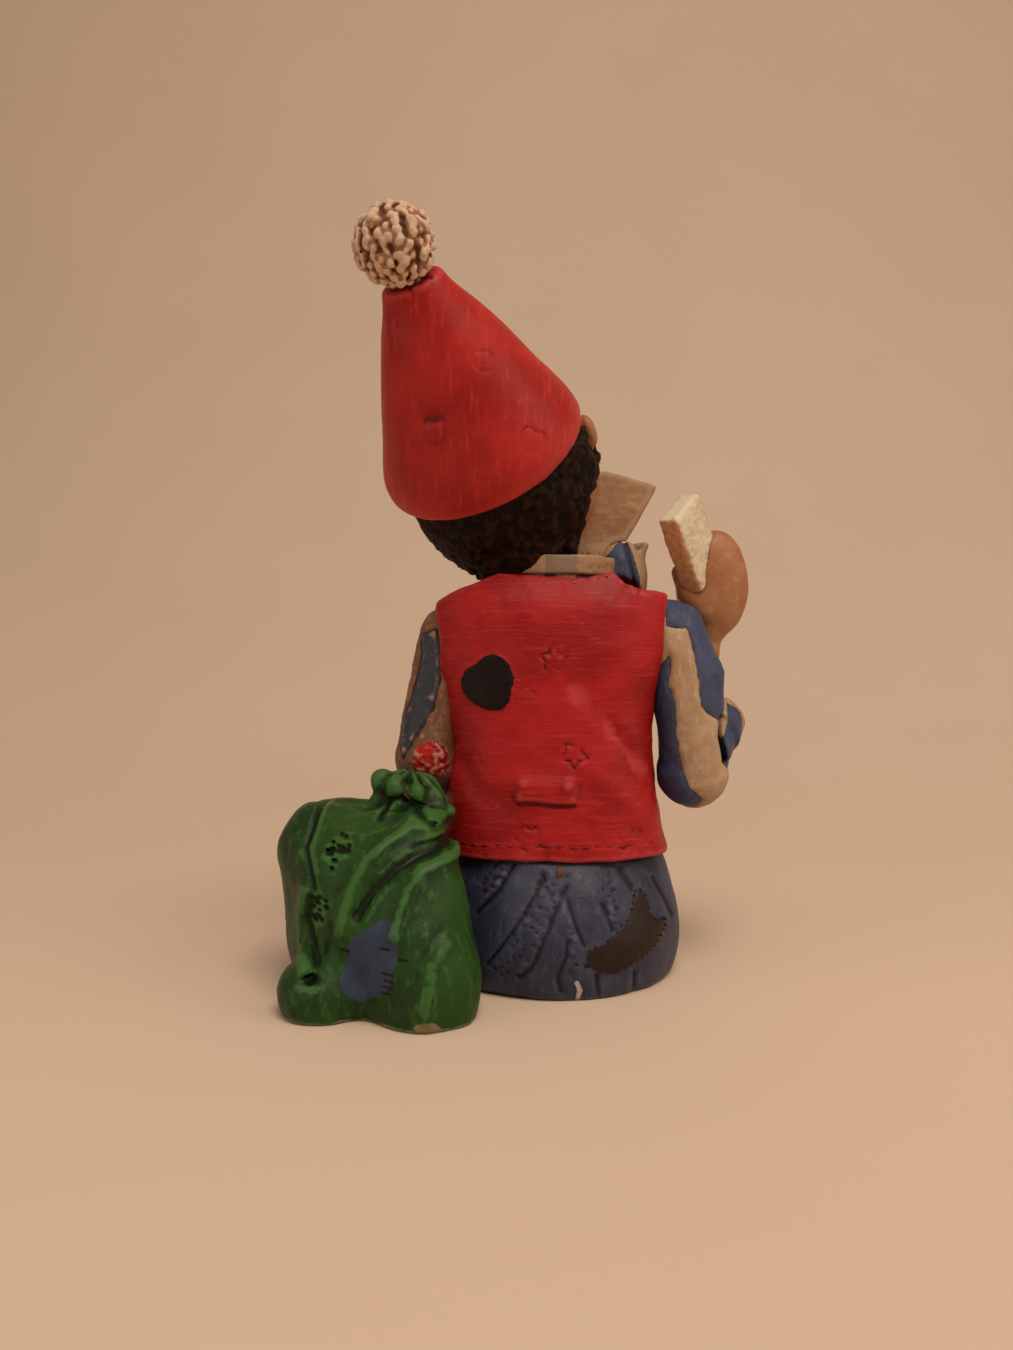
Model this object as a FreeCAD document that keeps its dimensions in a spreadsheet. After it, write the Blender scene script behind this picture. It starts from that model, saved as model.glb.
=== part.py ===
"""A seated garden gnome, cast in resin and painted, built as separate sculpted pieces.

Frame: millimetres, +Z up. The origin is on the floor under the middle of the seat.
The gnome faces -Y, so its right hand is on the -X side and its back looks along +Y.
"""

import FreeCAD, Part
import os
from FreeCAD import Placement, Rotation, Vector

doc = FreeCAD.newDocument("garden_gnome")
sheet = doc.addObject("Spreadsheet::Sheet", "dims")

# ---------------------------------------------------------------------------------------------
# Driving dimensions, in millimetres (angles in degrees)
# ---------------------------------------------------------------------------------------------
DRIVING = {
    # trousers
    "hip_width": 43.0,
    "hip_depth": 40.0,
    "hem_height": 20.8,
    "leg_radius": 8.2,
    "leg_spread": 11.0,
    "knee_reach": 27.0,
    "knee_height": 19.5,
    "ankle_reach": 37.0,
    "ankle_height": 10.0,
    # boots
    "boot_length": 23.0,
    "boot_width": 13.0,
    "boot_height": 13.0,
    "sole_thickness": 2.4,
    # shirt and vest
    "waist_width": 32.0,
    "chest_width": 34.0,
    "chest_depth": 23.0,
    "shoulder_height": 62.5,
    "neck_height": 69.5,
    "neck_radius": 9.0,
    "vest_opening": 9.0,
    "button_radius": 1.5,
    "collar_cloth": 1.4,
    # arms
    "sleeve_radius": 5.6,
    "cuff_cloth": 1.0,
    # head
    "head_across": 8.0,
    "head_back": -3.0,
    "head_height": 84.5,
    "head_radius": 16.0,
    "hair_cover": 1.4,
    "head_roll": 22.0,
    "head_tilt": 18.0,
    "head_turn": 12.0,
    "eye_radius": 2.3,
    "nose_radius": 3.6,
    "ear_radius": 4.2,
    # hat
    "brim_radius": 18.0,
    "hat_length": 33.0,
    "hat_tip_radius": 5.0,
    "hat_cloth": 1.2,
    "hat_tilt": 37.0,
    "hat_roll": 24.0,
    "pompom_radius": 6.6,
    # sack
    "sack_width": 39.0,
    "sack_depth": 23.0,
    "sack_height": 30.5,
    "sack_neck_radius": 5.2,
    "tie_radius": 1.3,
    # things held and thin painted patches
    "bread_length": 14.8,
    "bread_width": 9.2,
    "bread_thickness": 3.8,
    "patch_cloth": 0.5,
}
for row, (alias, value) in enumerate(DRIVING.items(), start=1):
    sheet.set(f"A{row}", alias)
    sheet.set(f"B{row}", str(value))
    sheet.setAlias(f"B{row}", alias)
doc.recompute()


def dim(alias):
    """The present value of one driving dimension."""
    return float(sheet.get(alias))


UP = Vector(0, 0, 1)
SIDES = {"left": 1.0, "right": -1.0}
pieces = {}


# ---------------------------------------------------------------------------------------------
# Small makers: every size is an expression on the sheet
# ---------------------------------------------------------------------------------------------
def bound(kind, name, sizes, at=None):
    """A Part primitive whose sizes follow the sheet."""
    item = doc.addObject(kind, name)
    for prop, expression in sizes.items():
        item.setExpression(prop, expression)
    if at is not None:
        item.Placement = at
    return item


def place(x, y, z, turn=None):
    return Placement(Vector(x, y, z), turn or Rotation())


def facing(direction):
    """The turn that carries +Z onto a direction."""
    return Rotation(UP, Vector(*direction))


def ellipsoid(name, across, deep, high, at):
    """An ellipsoid from three expressions for its radii along X, Y and Z."""
    sizes = {"Radius1": high, "Radius2": across, "Radius3": deep}
    return bound("Part::Ellipsoid", name, sizes, at)


def ball(name, radius, at):
    return bound("Part::Sphere", name, {"Radius": radius}, at)


def standing_mass(name, levels, grow="0", turn=0.0):
    """A closed mass lofted through level ellipses: (height, half width, half depth, x, y)."""
    sections = []
    for k, (height, half_width, half_depth, x, y) in enumerate(levels):
        ring = doc.addObject("Part::Ellipse", f"{name}_level_{k}")
        ring.setExpression("MajorRadius", f"{half_width} + {grow}")
        ring.setExpression("MinorRadius", f"{half_depth} + {grow}")
        ring.Placement = place(x, y, 0, Rotation(UP, turn))
        ring.setExpression("Placement.Base.z", height)
        sections.append(ring)
    return loft(name, sections)


def loft(name, sections):
    made = doc.addObject("Part::Loft", name)
    made.Sections = sections
    made.Solid = True
    made.Ruled = False
    return made


def limb(name, stations):
    """A round limb lofted through stations of (point, direction, radius expression)."""
    sections = []
    for k, (point, direction, radius) in enumerate(stations):
        at = Placement(Vector(*point), facing(direction))
        sections.append(bound("Part::Circle", f"{name}_ring_{k}", {"Radius": radius}, at))
    return loft(name, sections)


def fuse(name, *items):
    made = doc.addObject("Part::MultiFuse", name)
    made.Shapes = list(items)
    made.Refine = False
    return made


def common(name, *items):
    made = doc.addObject("Part::MultiCommon", name)
    made.Shapes = list(items)
    made.Refine = False
    return made


def cut(name, base, *tools):
    """The base with each tool taken away in turn."""
    for k, tool in enumerate(tools):
        last = k == len(tools) - 1
        made = doc.addObject("Part::Cut", name if last else f"{name}_less_{tool.Name}")
        made.Base = base
        made.Tool = tool
        made.Refine = False
        base = made
    return base


def block(name, low, high):
    """A plain box between two corners, for trimming."""
    made = doc.addObject("Part::Box", name)
    made.Length, made.Width, made.Height = (high[i] - low[i] for i in range(3))
    made.Placement = place(*low)
    return made


def keep(node, item):
    """Names an object as one of the kept pieces."""
    item.Label = node
    pieces[node] = item
    return item


def mirror_x(point, side):
    return (point[0] * side, point[1], point[2])


# ---------------------------------------------------------------------------------------------
# Trousers: a broad seat, two bent legs and boots with their heels on the floor
# ---------------------------------------------------------------------------------------------
def make_shirt_body():
    levels = [
        ("dims.hem_height", "dims.waist_width * 0.47", "dims.chest_depth * 0.45", 0, 0.5),
        ("dims.hem_height * 1.7", "dims.waist_width * 0.47", "dims.chest_depth * 0.46", 0, 0.5),
        ("dims.shoulder_height * 0.76", "dims.chest_width * 0.49", "dims.chest_depth * 0.5", 0, 0.5),
        ("dims.shoulder_height * 0.92", "dims.chest_width * 0.5", "dims.chest_depth * 0.46", 0, 0.2),
        ("dims.shoulder_height * 1.02", "dims.chest_width * 0.36", "dims.chest_depth * 0.38", 0, 0),
        ("dims.neck_height * 0.95", "dims.neck_radius * 0.98", "dims.neck_radius * 0.9", -0.5, -1),
        ("dims.neck_height", "dims.neck_radius * 0.92", "dims.neck_radius * 0.86", -0.5, -1),
    ]
    return standing_mass("shirt_mass", levels)


def make_seat():
    levels = [
        ("0", "dims.hip_width * 0.475", "dims.hip_depth * 0.5", 0, 1),
        ("dims.hem_height * 0.22", "dims.hip_width * 0.5", "dims.hip_depth * 0.525", 0, 1),
        ("dims.hem_height * 0.6", "dims.hip_width * 0.492", "dims.hip_depth * 0.49", 0, 1),
        ("dims.hem_height", "dims.hip_width * 0.43", "dims.hip_depth * 0.375", 0, 1),
    ]
    mass = standing_mass("trousers_seat", levels)
    patch_block = standing_mass("seat_patch_mass", levels, "dims.patch_cloth")
    return keep("trousers_seat", mass), patch_block


def make_leg(side_name, seat_mass):
    side = SIDES[side_name]
    spread = dim("leg_spread") * side
    knee = (spread, -dim("knee_reach"), dim("knee_height"))
    ankle = (spread * 1.08, -dim("ankle_reach"), dim("ankle_height"))
    thigh = limb(
        f"{side_name}_thigh",
        [
            ((spread * 0.93, -7, 9.2), (0, -1, 0.25), "dims.leg_radius * 1.04"),
            ((spread, -16.5, 13.0), (0, -1, 0.5), "dims.leg_radius * 0.98"),
            (knee, (0, -1, 0.3), "dims.leg_radius * 0.86"),
        ],
    )
    free_thigh = cut(f"{side_name}_free_thigh", thigh, seat_mass)
    kneecap = ball(f"{side_name}_kneecap", "dims.leg_radius * 0.87", place(*knee))
    shin = limb(
        f"{side_name}_shin",
        [
            (knee, (0, -0.6, -0.8), "dims.leg_radius * 0.86"),
            (ankle, (0, -0.6, -0.8), "dims.leg_radius * 0.84"),
        ],
    )
    whole = fuse(f"{side_name}_leg_mass", free_thigh, kneecap, shin)
    return whole, ankle


def make_boot(side_name, ankle):
    side = SIDES[side_name]
    length, width = dim("boot_length"), dim("boot_width")
    toe_turn = Rotation(UP, 8 * side)
    heel = Vector(ankle[0], ankle[1] + 3.5, 0)

    def on_foot(x, y, z):
        return heel + toe_turn.multVec(Vector(x, y, z))

    upper_levels = [
        ("dims.sole_thickness", "dims.boot_width * 0.46", "dims.boot_length * 0.48"),
        ("dims.boot_height * 0.45", "dims.boot_width * 0.47", "dims.boot_length * 0.47"),
        ("dims.boot_height * 0.72", "dims.boot_width * 0.4", "dims.boot_length * 0.38"),
        ("dims.boot_height * 0.9", "dims.boot_width * 0.25", "dims.boot_length * 0.22"),
    ]
    foot_sections = []
    for k, (height, half_width, half_length) in enumerate(upper_levels):
        ring = doc.addObject("Part::Ellipse", f"{side_name}_foot_level_{k}")
        ring.setExpression("MajorRadius", half_length)
        ring.setExpression("MinorRadius", half_width)
        quarter = Rotation(UP, 90 + 8 * side)
        centre = on_foot(0, -length * 0.42, 0)
        ring.Placement = Placement(centre, quarter)
        ring.setExpression("Placement.Base.z", height)
        foot_sections.append(ring)
    foot = loft(f"{side_name}_foot", foot_sections)
    shaft = bound(
        "Part::Cylinder",
        f"{side_name}_boot_shaft",
        {"Radius": "dims.boot_width * 0.46", "Height": "dims.boot_height * 0.95"},
        Placement(on_foot(0, -length * 0.1, dim("sole_thickness")), Rotation()),
    )
    boot = keep(f"{side_name}_boot", fuse(f"{side_name}_boot", foot, shaft))

    sole_ring = doc.addObject("Part::Ellipse", f"{side_name}_sole_outline")
    sole_ring.setExpression("MajorRadius", "dims.boot_length * 0.5")
    sole_ring.setExpression("MinorRadius", "dims.boot_width * 0.5")
    sole_ring.Placement = Placement(on_foot(0, -length * 0.42, 0), Rotation(UP, 90 + 8 * side))
    sole = doc.addObject("Part::Extrusion", f"{side_name}_boot_sole")
    sole.Base = sole_ring
    sole.Dir = UP
    sole.Solid = True
    sole.setExpression("LengthFwd", "dims.sole_thickness")
    keep(f"{side_name}_boot_sole", sole)
    return boot


# ---------------------------------------------------------------------------------------------
# Vest, its half belt, patch and buttons
# ---------------------------------------------------------------------------------------------
def vest_levels():
    return [
        ("dims.hem_height", "dims.chest_width * 0.57", "dims.chest_depth * 0.66", 0, 1),
        ("dims.hem_height * 1.4", "dims.chest_width * 0.53", "dims.chest_depth * 0.62", 0, 1),
        ("dims.shoulder_height * 0.62", "dims.chest_width * 0.503", "dims.chest_depth * 0.58", 0, 1),
        ("dims.shoulder_height * 0.8", "dims.chest_width * 0.545", "dims.chest_depth * 0.6", 0, 0.5),
        ("dims.shoulder_height * 0.96", "dims.chest_width * 0.565", "dims.chest_depth * 0.54", 0, 0),
        ("dims.shoulder_height * 1.025", "dims.chest_width * 0.495", "dims.chest_depth * 0.47", 0, 0),
        ("dims.shoulder_height * 1.075", "dims.chest_width * 0.36", "dims.chest_depth * 0.4", 0, 0),
    ]


def make_vest(shirt):
    mass = standing_mass("vest_mass", vest_levels())
    top = dim("neck_height") + 1
    gap = dim("vest_opening") / 2
    outline = doc.addObject("Part::Polygon", "vest_opening_outline")
    outline.Nodes = [
        Vector(x, -30, z)
        for x, z in (
            (-gap, 5), (gap, 5), (gap, 42), (gap * 2.3, top), (-gap * 2.3, top), (-gap, 42),
        )
    ]
    outline.Close = True
    opening = prism_along_y("vest_opening_prism", outline, 29)
    vest = cut("vest", mass, shirt, opening)
    return mass, keep("vest", vest)


def make_on_back(node, mass, grown, prism):
    """A thin raised shape that lies on a mass: what a prism keeps of the grown mass."""
    raised = common(f"{node}_raised", grown, prism)
    return keep(node, cut(node, raised, mass))


def prism_along_y(name, ring, depth):
    made = doc.addObject("Part::Extrusion", name)
    made.Base = ring
    made.Dir = Vector(0, 1, 0)
    made.LengthFwd = depth
    made.Solid = True
    return made


def make_vest_trims(vest_mass):
    patch_grown = standing_mass("vest_patch_mass", vest_levels(), "dims.patch_cloth")
    ring = doc.addObject("Part::Ellipse", "vest_patch_outline")
    ring.MajorRadius, ring.MinorRadius = 4.8, 4.5
    ring.Placement = Placement(Vector(10.0, 5, 49.2), Rotation(Vector(1, 0, 0), 90))
    patch_prism = prism_along_y("vest_patch_prism", ring, 14)
    make_on_back("vest_back_patch", vest_mass, patch_grown, patch_prism)

    belt_grown = standing_mass("vest_belt_mass", vest_levels(), "dims.patch_cloth * 2.4")
    belt_box = block("half_belt_box", (-4.2, 8, 29.6), (6.2, 20, 33.8))
    make_on_back("vest_half_belt", vest_mass, belt_grown, belt_box)


def make_vest_buttons(shirt):
    buttons = []
    for k, height in enumerate((29.0, 37.0, 45.0)):
        at = Placement(Vector(-6.8, -9.0, height), facing((-0.25, -1, 0)))
        sizes = {"Radius": "dims.button_radius", "Height": "dims.button_radius * 3.3"}
        buttons.append(bound("Part::Cylinder", f"button_{k}", sizes, at))
    group = doc.addObject("Part::Compound", "vest_button_blanks")
    group.Links = buttons
    return group


# ---------------------------------------------------------------------------------------------
# Shirt collar: a standing band with one wing turned up beside the cheek and one laid down
# ---------------------------------------------------------------------------------------------
def plate(name, corners, thickness):
    """A flat plate whose first three corners set its plane, thickened along its normal."""
    points = [Vector(*c) for c in corners]
    a, b, c = points[:3]
    normal = (b - a).cross(c - a).normalize()
    outline = doc.addObject("Part::Polygon", f"{name}_outline")
    outline.Nodes = [p - normal * (p - a).dot(normal) for p in points]
    outline.Close = True
    made = doc.addObject("Part::Extrusion", name)
    made.Base = outline
    made.DirMode = "Custom"
    made.Dir = normal
    made.Solid = True
    made.Symmetric = True
    made.setExpression("LengthFwd", thickness)
    return made


def make_collar(shirt, vest_mass, heads):
    outer = [
        ("dims.neck_height * 0.93", "dims.neck_radius * 1.1", "dims.neck_radius * 1.02", -0.5, -1.5),
        ("dims.neck_height * 1.01", "dims.neck_radius * 1.16", "dims.neck_radius * 1.05", -0.5, -1.8),
    ]
    stand = standing_mass("collar_stand", outer)
    up_wing = plate(
        "collar_up_wing",
        [(-8.2, -3.0, 69.0), (-9.2, -5.5, 86.4), (-18.6, -5.5, 83.6), (-11.6, -3.2, 71.0)],
        "dims.collar_cloth",
    )
    down_wing = plate(
        "collar_down_wing",
        [(3.0, -11.5, 70.5), (11.2, -6.0, 70.0), (13.5, -14.0, 60.5)],
        "dims.collar_cloth",
    )
    whole = fuse("collar_mass", stand, up_wing, down_wing)
    keep("shirt_collar", cut("shirt_collar", whole, shirt, vest_mass, *heads))


# ---------------------------------------------------------------------------------------------
# Arms: each sleeve is one bent tube with a turned cuff, and the hand sits in the cuff
# ---------------------------------------------------------------------------------------------
ARMS = {
    "right": {
        "shoulder": (-18.4, 0.8, 57.4),
        "middle": (-22.6, 2.4, 46.2),
        "elbow": (-24.2, 1.2, 33.6),
        "wrist": (-28.7, -8.2, 41.0),
        "hand": (-29.8, -8.2, 65.4),
    },
    "left": {
        "shoulder": (17.8, 1.0, 56.6),
        "middle": (19.7, 2.6, 46.0),
        "elbow": (20.6, 3.4, 36.0),
        "wrist": (17.6, -11.5, 31.2),
        "hand": (13.2, -22.6, 28.8),
    },
}


def towards(a, b):
    return tuple(b[i] - a[i] for i in range(3))


def make_sleeve(side_name, cutters):
    arm = ARMS[side_name]
    shoulder, middle, elbow, wrist = (arm[k] for k in ("shoulder", "middle", "elbow", "wrist"))
    upper = limb(
        f"{side_name}_upper_arm",
        [
            (shoulder, towards(shoulder, middle), "dims.sleeve_radius * 0.96"),
            (middle, towards(shoulder, elbow), "dims.sleeve_radius * 0.98"),
            (elbow, towards(middle, elbow), "dims.sleeve_radius * 1.08"),
        ],
    )
    cap = ball(f"{side_name}_shoulder_cap", "dims.sleeve_radius * 0.97", place(*shoulder))
    upper = cut(f"{side_name}_free_upper_arm", upper, *cutters)
    cap = cut(f"{side_name}_free_shoulder", cap, *cutters)
    bend = ball(f"{side_name}_elbow", "dims.sleeve_radius * 1.12", place(*elbow))
    lower = limb(
        f"{side_name}_forearm",
        [
            (elbow, towards(elbow, wrist), "dims.sleeve_radius * 1.06"),
            (wrist, towards(elbow, wrist), "dims.sleeve_radius * 0.86"),
        ],
    )
    bend = cut(f"{side_name}_free_elbow", bend, *cutters)
    return keep(f"{side_name}_sleeve", fuse(f"{side_name}_sleeve", upper, cap, bend, lower))


def make_cuff(side_name, sleeve):
    arm = ARMS[side_name]
    elbow, wrist = arm["elbow"], arm["wrist"]
    along = Vector(*towards(elbow, wrist)).normalize()
    start = Vector(*wrist) - along * 2.2
    at = Placement(start, facing(tuple(along)))
    outside = bound(
        "Part::Cone",
        f"{side_name}_cuff_outside",
        {
            "Radius1": "dims.sleeve_radius * 0.9 + dims.cuff_cloth * 0.6",
            "Radius2": "dims.sleeve_radius * 0.9 + dims.cuff_cloth",
            "Height": "4.4",
        },
        at,
    )
    return outside


def make_hand(side_name, cuff, cutters):
    arm = ARMS[side_name]
    wrist, hand = arm["wrist"], arm["hand"]
    reach = towards(wrist, hand)
    inside = Vector(*wrist) - Vector(*reach).normalize() * 2.0
    stalk = limb(
        f"{side_name}_wrist",
        [
            (tuple(inside), reach, "dims.sleeve_radius * 0.52"),
            (hand, reach, "dims.sleeve_radius * 0.6"),
        ],
    )
    palm_at = Placement(Vector(*hand), facing(reach))
    palm = ellipsoid(
        f"{side_name}_palm", "dims.sleeve_radius * 0.96", "dims.sleeve_radius * 0.74",
        "dims.sleeve_radius * 1.9", palm_at,
    )
    whole = fuse(f"{side_name}_hand_mass", stalk, palm)
    keep(f"{side_name}_hand", cut(f"{side_name}_hand", whole, *cutters))
    return whole


def make_bread():
    centre = Vector(-24.5, -3.6, 73.3)
    across = Vector(-0.511, -0.619, 0.597)
    through = Vector(-0.781, 0.627, -0.016)
    turn = Rotation(across, through, across.cross(through), "XYZ")
    corner = Placement(centre, turn).multiply(
        place(-dim("bread_width") / 2, -dim("bread_thickness") / 2, -dim("bread_length") / 2)
    )
    slab = bound(
        "Part::Box",
        "bread_slab",
        {
            "Length": "dims.bread_width",
            "Width": "dims.bread_thickness",
            "Height": "dims.bread_length",
        },
        corner,
    )
    doc.recompute()
    rounded = doc.addObject("Part::Fillet", "bread_slice")
    rounded.Base = slab
    rounded.Edges = [(k + 1, 0.6, 0.6) for k in range(len(slab.Shape.Edges))]
    return keep("bread_slice", rounded)


# ---------------------------------------------------------------------------------------------
# Head: built about its own centre, then turned and tilted as one
# ---------------------------------------------------------------------------------------------
head_centre = Vector(dim("head_across"), dim("head_back"), dim("head_height"))
head_turn = (
    Rotation(Vector(0, 1, 0), dim("head_roll"))
    * Rotation(Vector(1, 0, 0), -dim("head_tilt"))
    * Rotation(UP, -dim("head_turn"))
)
head_frame = Placement(head_centre, head_turn)


def on_head(x, y, z, turn=None):
    return head_frame.multiply(place(x, y, z, turn))


def make_head():
    skull = ellipsoid("skull", "dims.head_radius", "dims.head_radius * 0.98",
                      "dims.head_radius", on_head(0, 0, 0))
    jaw = ellipsoid("jaw", "dims.head_radius * 0.8", "dims.head_radius * 0.8",
                    "dims.head_radius * 0.68", on_head(0, -3.0, -6.2))
    return fuse("head_mass", skull, jaw)


def make_face(head_mass, shirt, vest_mass):
    radius = dim("head_radius")
    eyes = []
    for side_name, side in SIDES.items():
        eye = ball(f"{side_name}_eye", "dims.eye_radius",
                   on_head(5.4 * side, -radius * 0.85, 1.2))
        keep(f"{side_name}_eye", eye)
        eyes.append(eye)
    nose_mass = ellipsoid("nose_mass", "dims.nose_radius", "dims.nose_radius * 1.05",
                          "dims.nose_radius * 0.95", on_head(0, -radius * 1.06, -2.4))
    head = keep("head", cut("head", head_mass, shirt, vest_mass, *eyes, nose_mass))
    keep("nose", nose_mass)
    ears = []
    for side_name, side in SIDES.items():
        ear_mass = ellipsoid(f"{side_name}_ear_mass", "dims.ear_radius * 0.45",
                             "dims.ear_radius * 0.72", "dims.ear_radius",
                             on_head(radius * side, 0.5, 1.4, Rotation(UP, 90 - side * 114)))
        keep(f"{side_name}_ear", cut(f"{side_name}_ear", ear_mass, head_mass))
        ears.append(ear_mass)
    brows = []
    for side in SIDES.values():
        turn = Rotation(Vector(0, 1, 0), 10 * side)
        brows.append(ellipsoid("brow_blank", "3.0", "1.0", "0.75",
                               on_head(5.6 * side, -radius * 0.93, 5.6, turn)))
    pair = doc.addObject("Part::Compound", "brow_blanks")
    pair.Links = brows
    keep("eyebrows", cut("eyebrows", pair, head_mass))
    return head, ears, eyes, nose_mass


def make_beard(head_mass, cutters):
    """A short full beard round the jaw, below the mouth."""
    mass = ellipsoid("beard_mass", "dims.head_radius * 0.9", "dims.head_radius * 0.72",
                     "dims.head_radius * 0.74", on_head(0, -6.2, -8.6))
    above = doc.addObject("Part::Box", "beard_upper_trim")
    above.Length, above.Width, above.Height = 60, 40, 30
    above.Placement = on_head(-30, -30, -5.4, Rotation(Vector(1, 0, 0), 14))
    behind = doc.addObject("Part::Box", "beard_back_trim")
    behind.Length, behind.Width, behind.Height = 60, 30, 60
    behind.Placement = on_head(-30, -3.5, -40)
    shaped = cut("beard_shaped", mass, above, behind)
    keep("beard", cut("beard", shaped, head_mass, *cutters))
    return shaped


def make_shirt_shoulder(cutters):
    """The gathered shirt cloth that stands up between the collar and the right shoulder."""
    mass = ellipsoid("shirt_shoulder_mass", "4.8", "5.2", "6.6", place(-12.2, -5.2, 67.4))
    return keep("shirt_shoulder", cut("shirt_shoulder", mass, *cutters))


def make_hair(head_mass, cutters):
    """A close cap of hair behind the face, notched square round each ear."""
    cap = ball("hair_cap", "dims.head_radius + dims.hair_cover", on_head(0, 0.6, 0))
    front = doc.addObject("Part::Box", "hair_front_trim")
    front.Length, front.Width, front.Height = 60, 40, 80
    front.Placement = on_head(-30, -43.5, -52)
    notches = []
    reach = dim("ear_radius") * 1.06
    for side_name, side in SIDES.items():
        notch = doc.addObject("Part::Box", f"{side_name}_ear_notch")
        notch.Length, notch.Width, notch.Height = 12, 14, reach * 2
        outer = dim("head_radius") * side + 6 * (side - 1)
        notch.Placement = on_head(outer - 2.5 * side, -10.0, 1.4 - reach)
        notches.append(notch)
    return cut("hair_shell", cap, head_mass, front, *notches, *cutters)


# ---------------------------------------------------------------------------------------------
# Hat and pompom, on an axis that leans back and to the gnome's left
# ---------------------------------------------------------------------------------------------
hat_turn = Rotation(Vector(0, 1, 0), dim("hat_roll")) * Rotation(Vector(1, 0, 0), -dim("hat_tilt"))
hat_axis = hat_turn.multVec(UP)
brim_centre = Vector(11.1, 0.4, 87.4)


def make_hat(head_parts):
    profile = [(0.0, 0.97), (0.07, 1.0), (0.3, 0.86), (0.55, 0.67), (0.8, 0.455), (1.0, 0.28)]
    rings = []
    for k, (share, width) in enumerate(profile):
        at = Placement(brim_centre + hat_axis * (share * dim("hat_length")), hat_turn)
        size = {"Radius": f"dims.brim_radius * {width}"}
        rings.append(bound("Part::Circle", f"hat_ring_{k}", size, at))
    mass = loft("hat_mass", rings)
    keep("hat", cut("hat", mass, *head_parts))
    return mass


def make_pompom(hat_mass):
    reach = dim("hat_length") + dim("pompom_radius") * 0.78
    at = Placement(brim_centre + hat_axis * reach + Vector(0.5, 0, 0.3), hat_turn)
    puff = ball("pompom_ball", "dims.pompom_radius", at)
    keep("pompom", cut("pompom", puff, hat_mass))


# ---------------------------------------------------------------------------------------------
# Sack: a soft load leaning on the gnome's left hip, with a tied neck
# ---------------------------------------------------------------------------------------------
SACK_AT = (26.5, 19.5)
SACK_TURN = -43.0


def sack_levels():
    x, y = SACK_AT
    return [
        ("0", "dims.sack_width * 0.485", "dims.sack_depth * 0.38", x, y),
        ("dims.sack_height * 0.2", "dims.sack_width * 0.5", "dims.sack_depth * 0.46", x + 0.4, y),
        ("dims.sack_height * 0.5", "dims.sack_width * 0.49", "dims.sack_depth * 0.5", x + 1.5, y - 1),
        ("dims.sack_height * 0.82", "dims.sack_width * 0.45", "dims.sack_depth * 0.46", x + 3.0, y - 4),
        ("dims.sack_height", "dims.sack_width * 0.31", "dims.sack_depth * 0.28", x + 1.8, y - 7),
    ]


def make_sack(cutters):
    body = standing_mass("sack_mass", sack_levels(), turn=SACK_TURN)
    neck_at = Vector(25.0, 11.5, dim("sack_height") - 3)
    lean = (-0.35, -0.1, 1)
    neck = limb(
        "sack_neck_mass",
        [
            (tuple(neck_at), lean, "dims.sack_neck_radius * 1.25"),
            (tuple(neck_at + Vector(*lean) * 3.6), lean, "dims.sack_neck_radius * 0.82"),
            (tuple(neck_at + Vector(*lean) * 7.2), lean, "dims.sack_neck_radius * 1.15"),
        ],
    )
    tie = bound(
        "Part::Torus",
        "sack_tie_ring",
        {"Radius1": "dims.sack_neck_radius * 0.86", "Radius2": "dims.tie_radius * 0.8"},
        Placement(neck_at + Vector(*lean) * 3.7, facing(lean)),
    )
    keep("sack", cut("sack", body, *cutters))
    keep("sack_tie", cut("sack_tie", tie, neck, *cutters))
    keep("sack_neck", cut("sack_neck", neck, body, *cutters))

    grown = standing_mass("sack_patch_mass", sack_levels(), "dims.patch_cloth", SACK_TURN)
    ring = doc.addObject("Part::Ellipse", "sack_patch_outline")
    ring.MajorRadius, ring.MinorRadius = 5.6, 4.4
    turn = Rotation(Vector(1, 0, 0), 90) * Rotation(UP, 62)
    ring.Placement = Placement(Vector(25.8, 18, 10.2), turn)
    prism = prism_along_y("sack_patch_prism", ring, 20)
    make_on_back("sack_patch", body, grown, prism)
    return body


def make_seat_patch(seat_mass, grown):
    ring = doc.addObject("Part::Ellipse", "seat_patch_outline")
    ring.MajorRadius, ring.MinorRadius = 6.6, 3.6
    turn = Rotation(Vector(1, 0, 0), 90) * Rotation(UP, 28)
    ring.Placement = Placement(Vector(-12.8, 6, 8.8), turn)
    prism = prism_along_y("seat_patch_prism", ring, 20)
    make_on_back("trousers_patch", seat_mass, grown, prism)


def make_elbow_patch(sleeve_mass, cutters):
    elbow = ARMS["left"]["elbow"]
    grown = ball("elbow_grown", "dims.sleeve_radius * 1.12 + dims.patch_cloth", place(*elbow))
    stamp = bound("Part::Cylinder", "elbow_stamp", {"Radius": "3.5", "Height": "12"},
                  Placement(Vector(*elbow), facing((-0.06, 1, -0.02))))
    raised = common("elbow_patch_raised", grown, stamp)
    keep("left_elbow_patch", cut("left_elbow_patch", raised, sleeve_mass, *cutters))


# ---------------------------------------------------------------------------------------------
# Assembly
# ---------------------------------------------------------------------------------------------
shirt_mass = make_shirt_body()
keep("shirt_body", shirt_mass)
seat_mass, seat_grown = make_seat()
vest_mass, vest = make_vest(shirt_mass)

leg_masses = {}
for name in SIDES:
    leg_mass, ankle_point = make_leg(name, seat_mass)
    leg_masses[name] = leg_mass
    boot = make_boot(name, ankle_point)
    keep(f"{name}_trouser_leg", cut(f"{name}_trouser_leg", leg_mass, boot))

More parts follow.
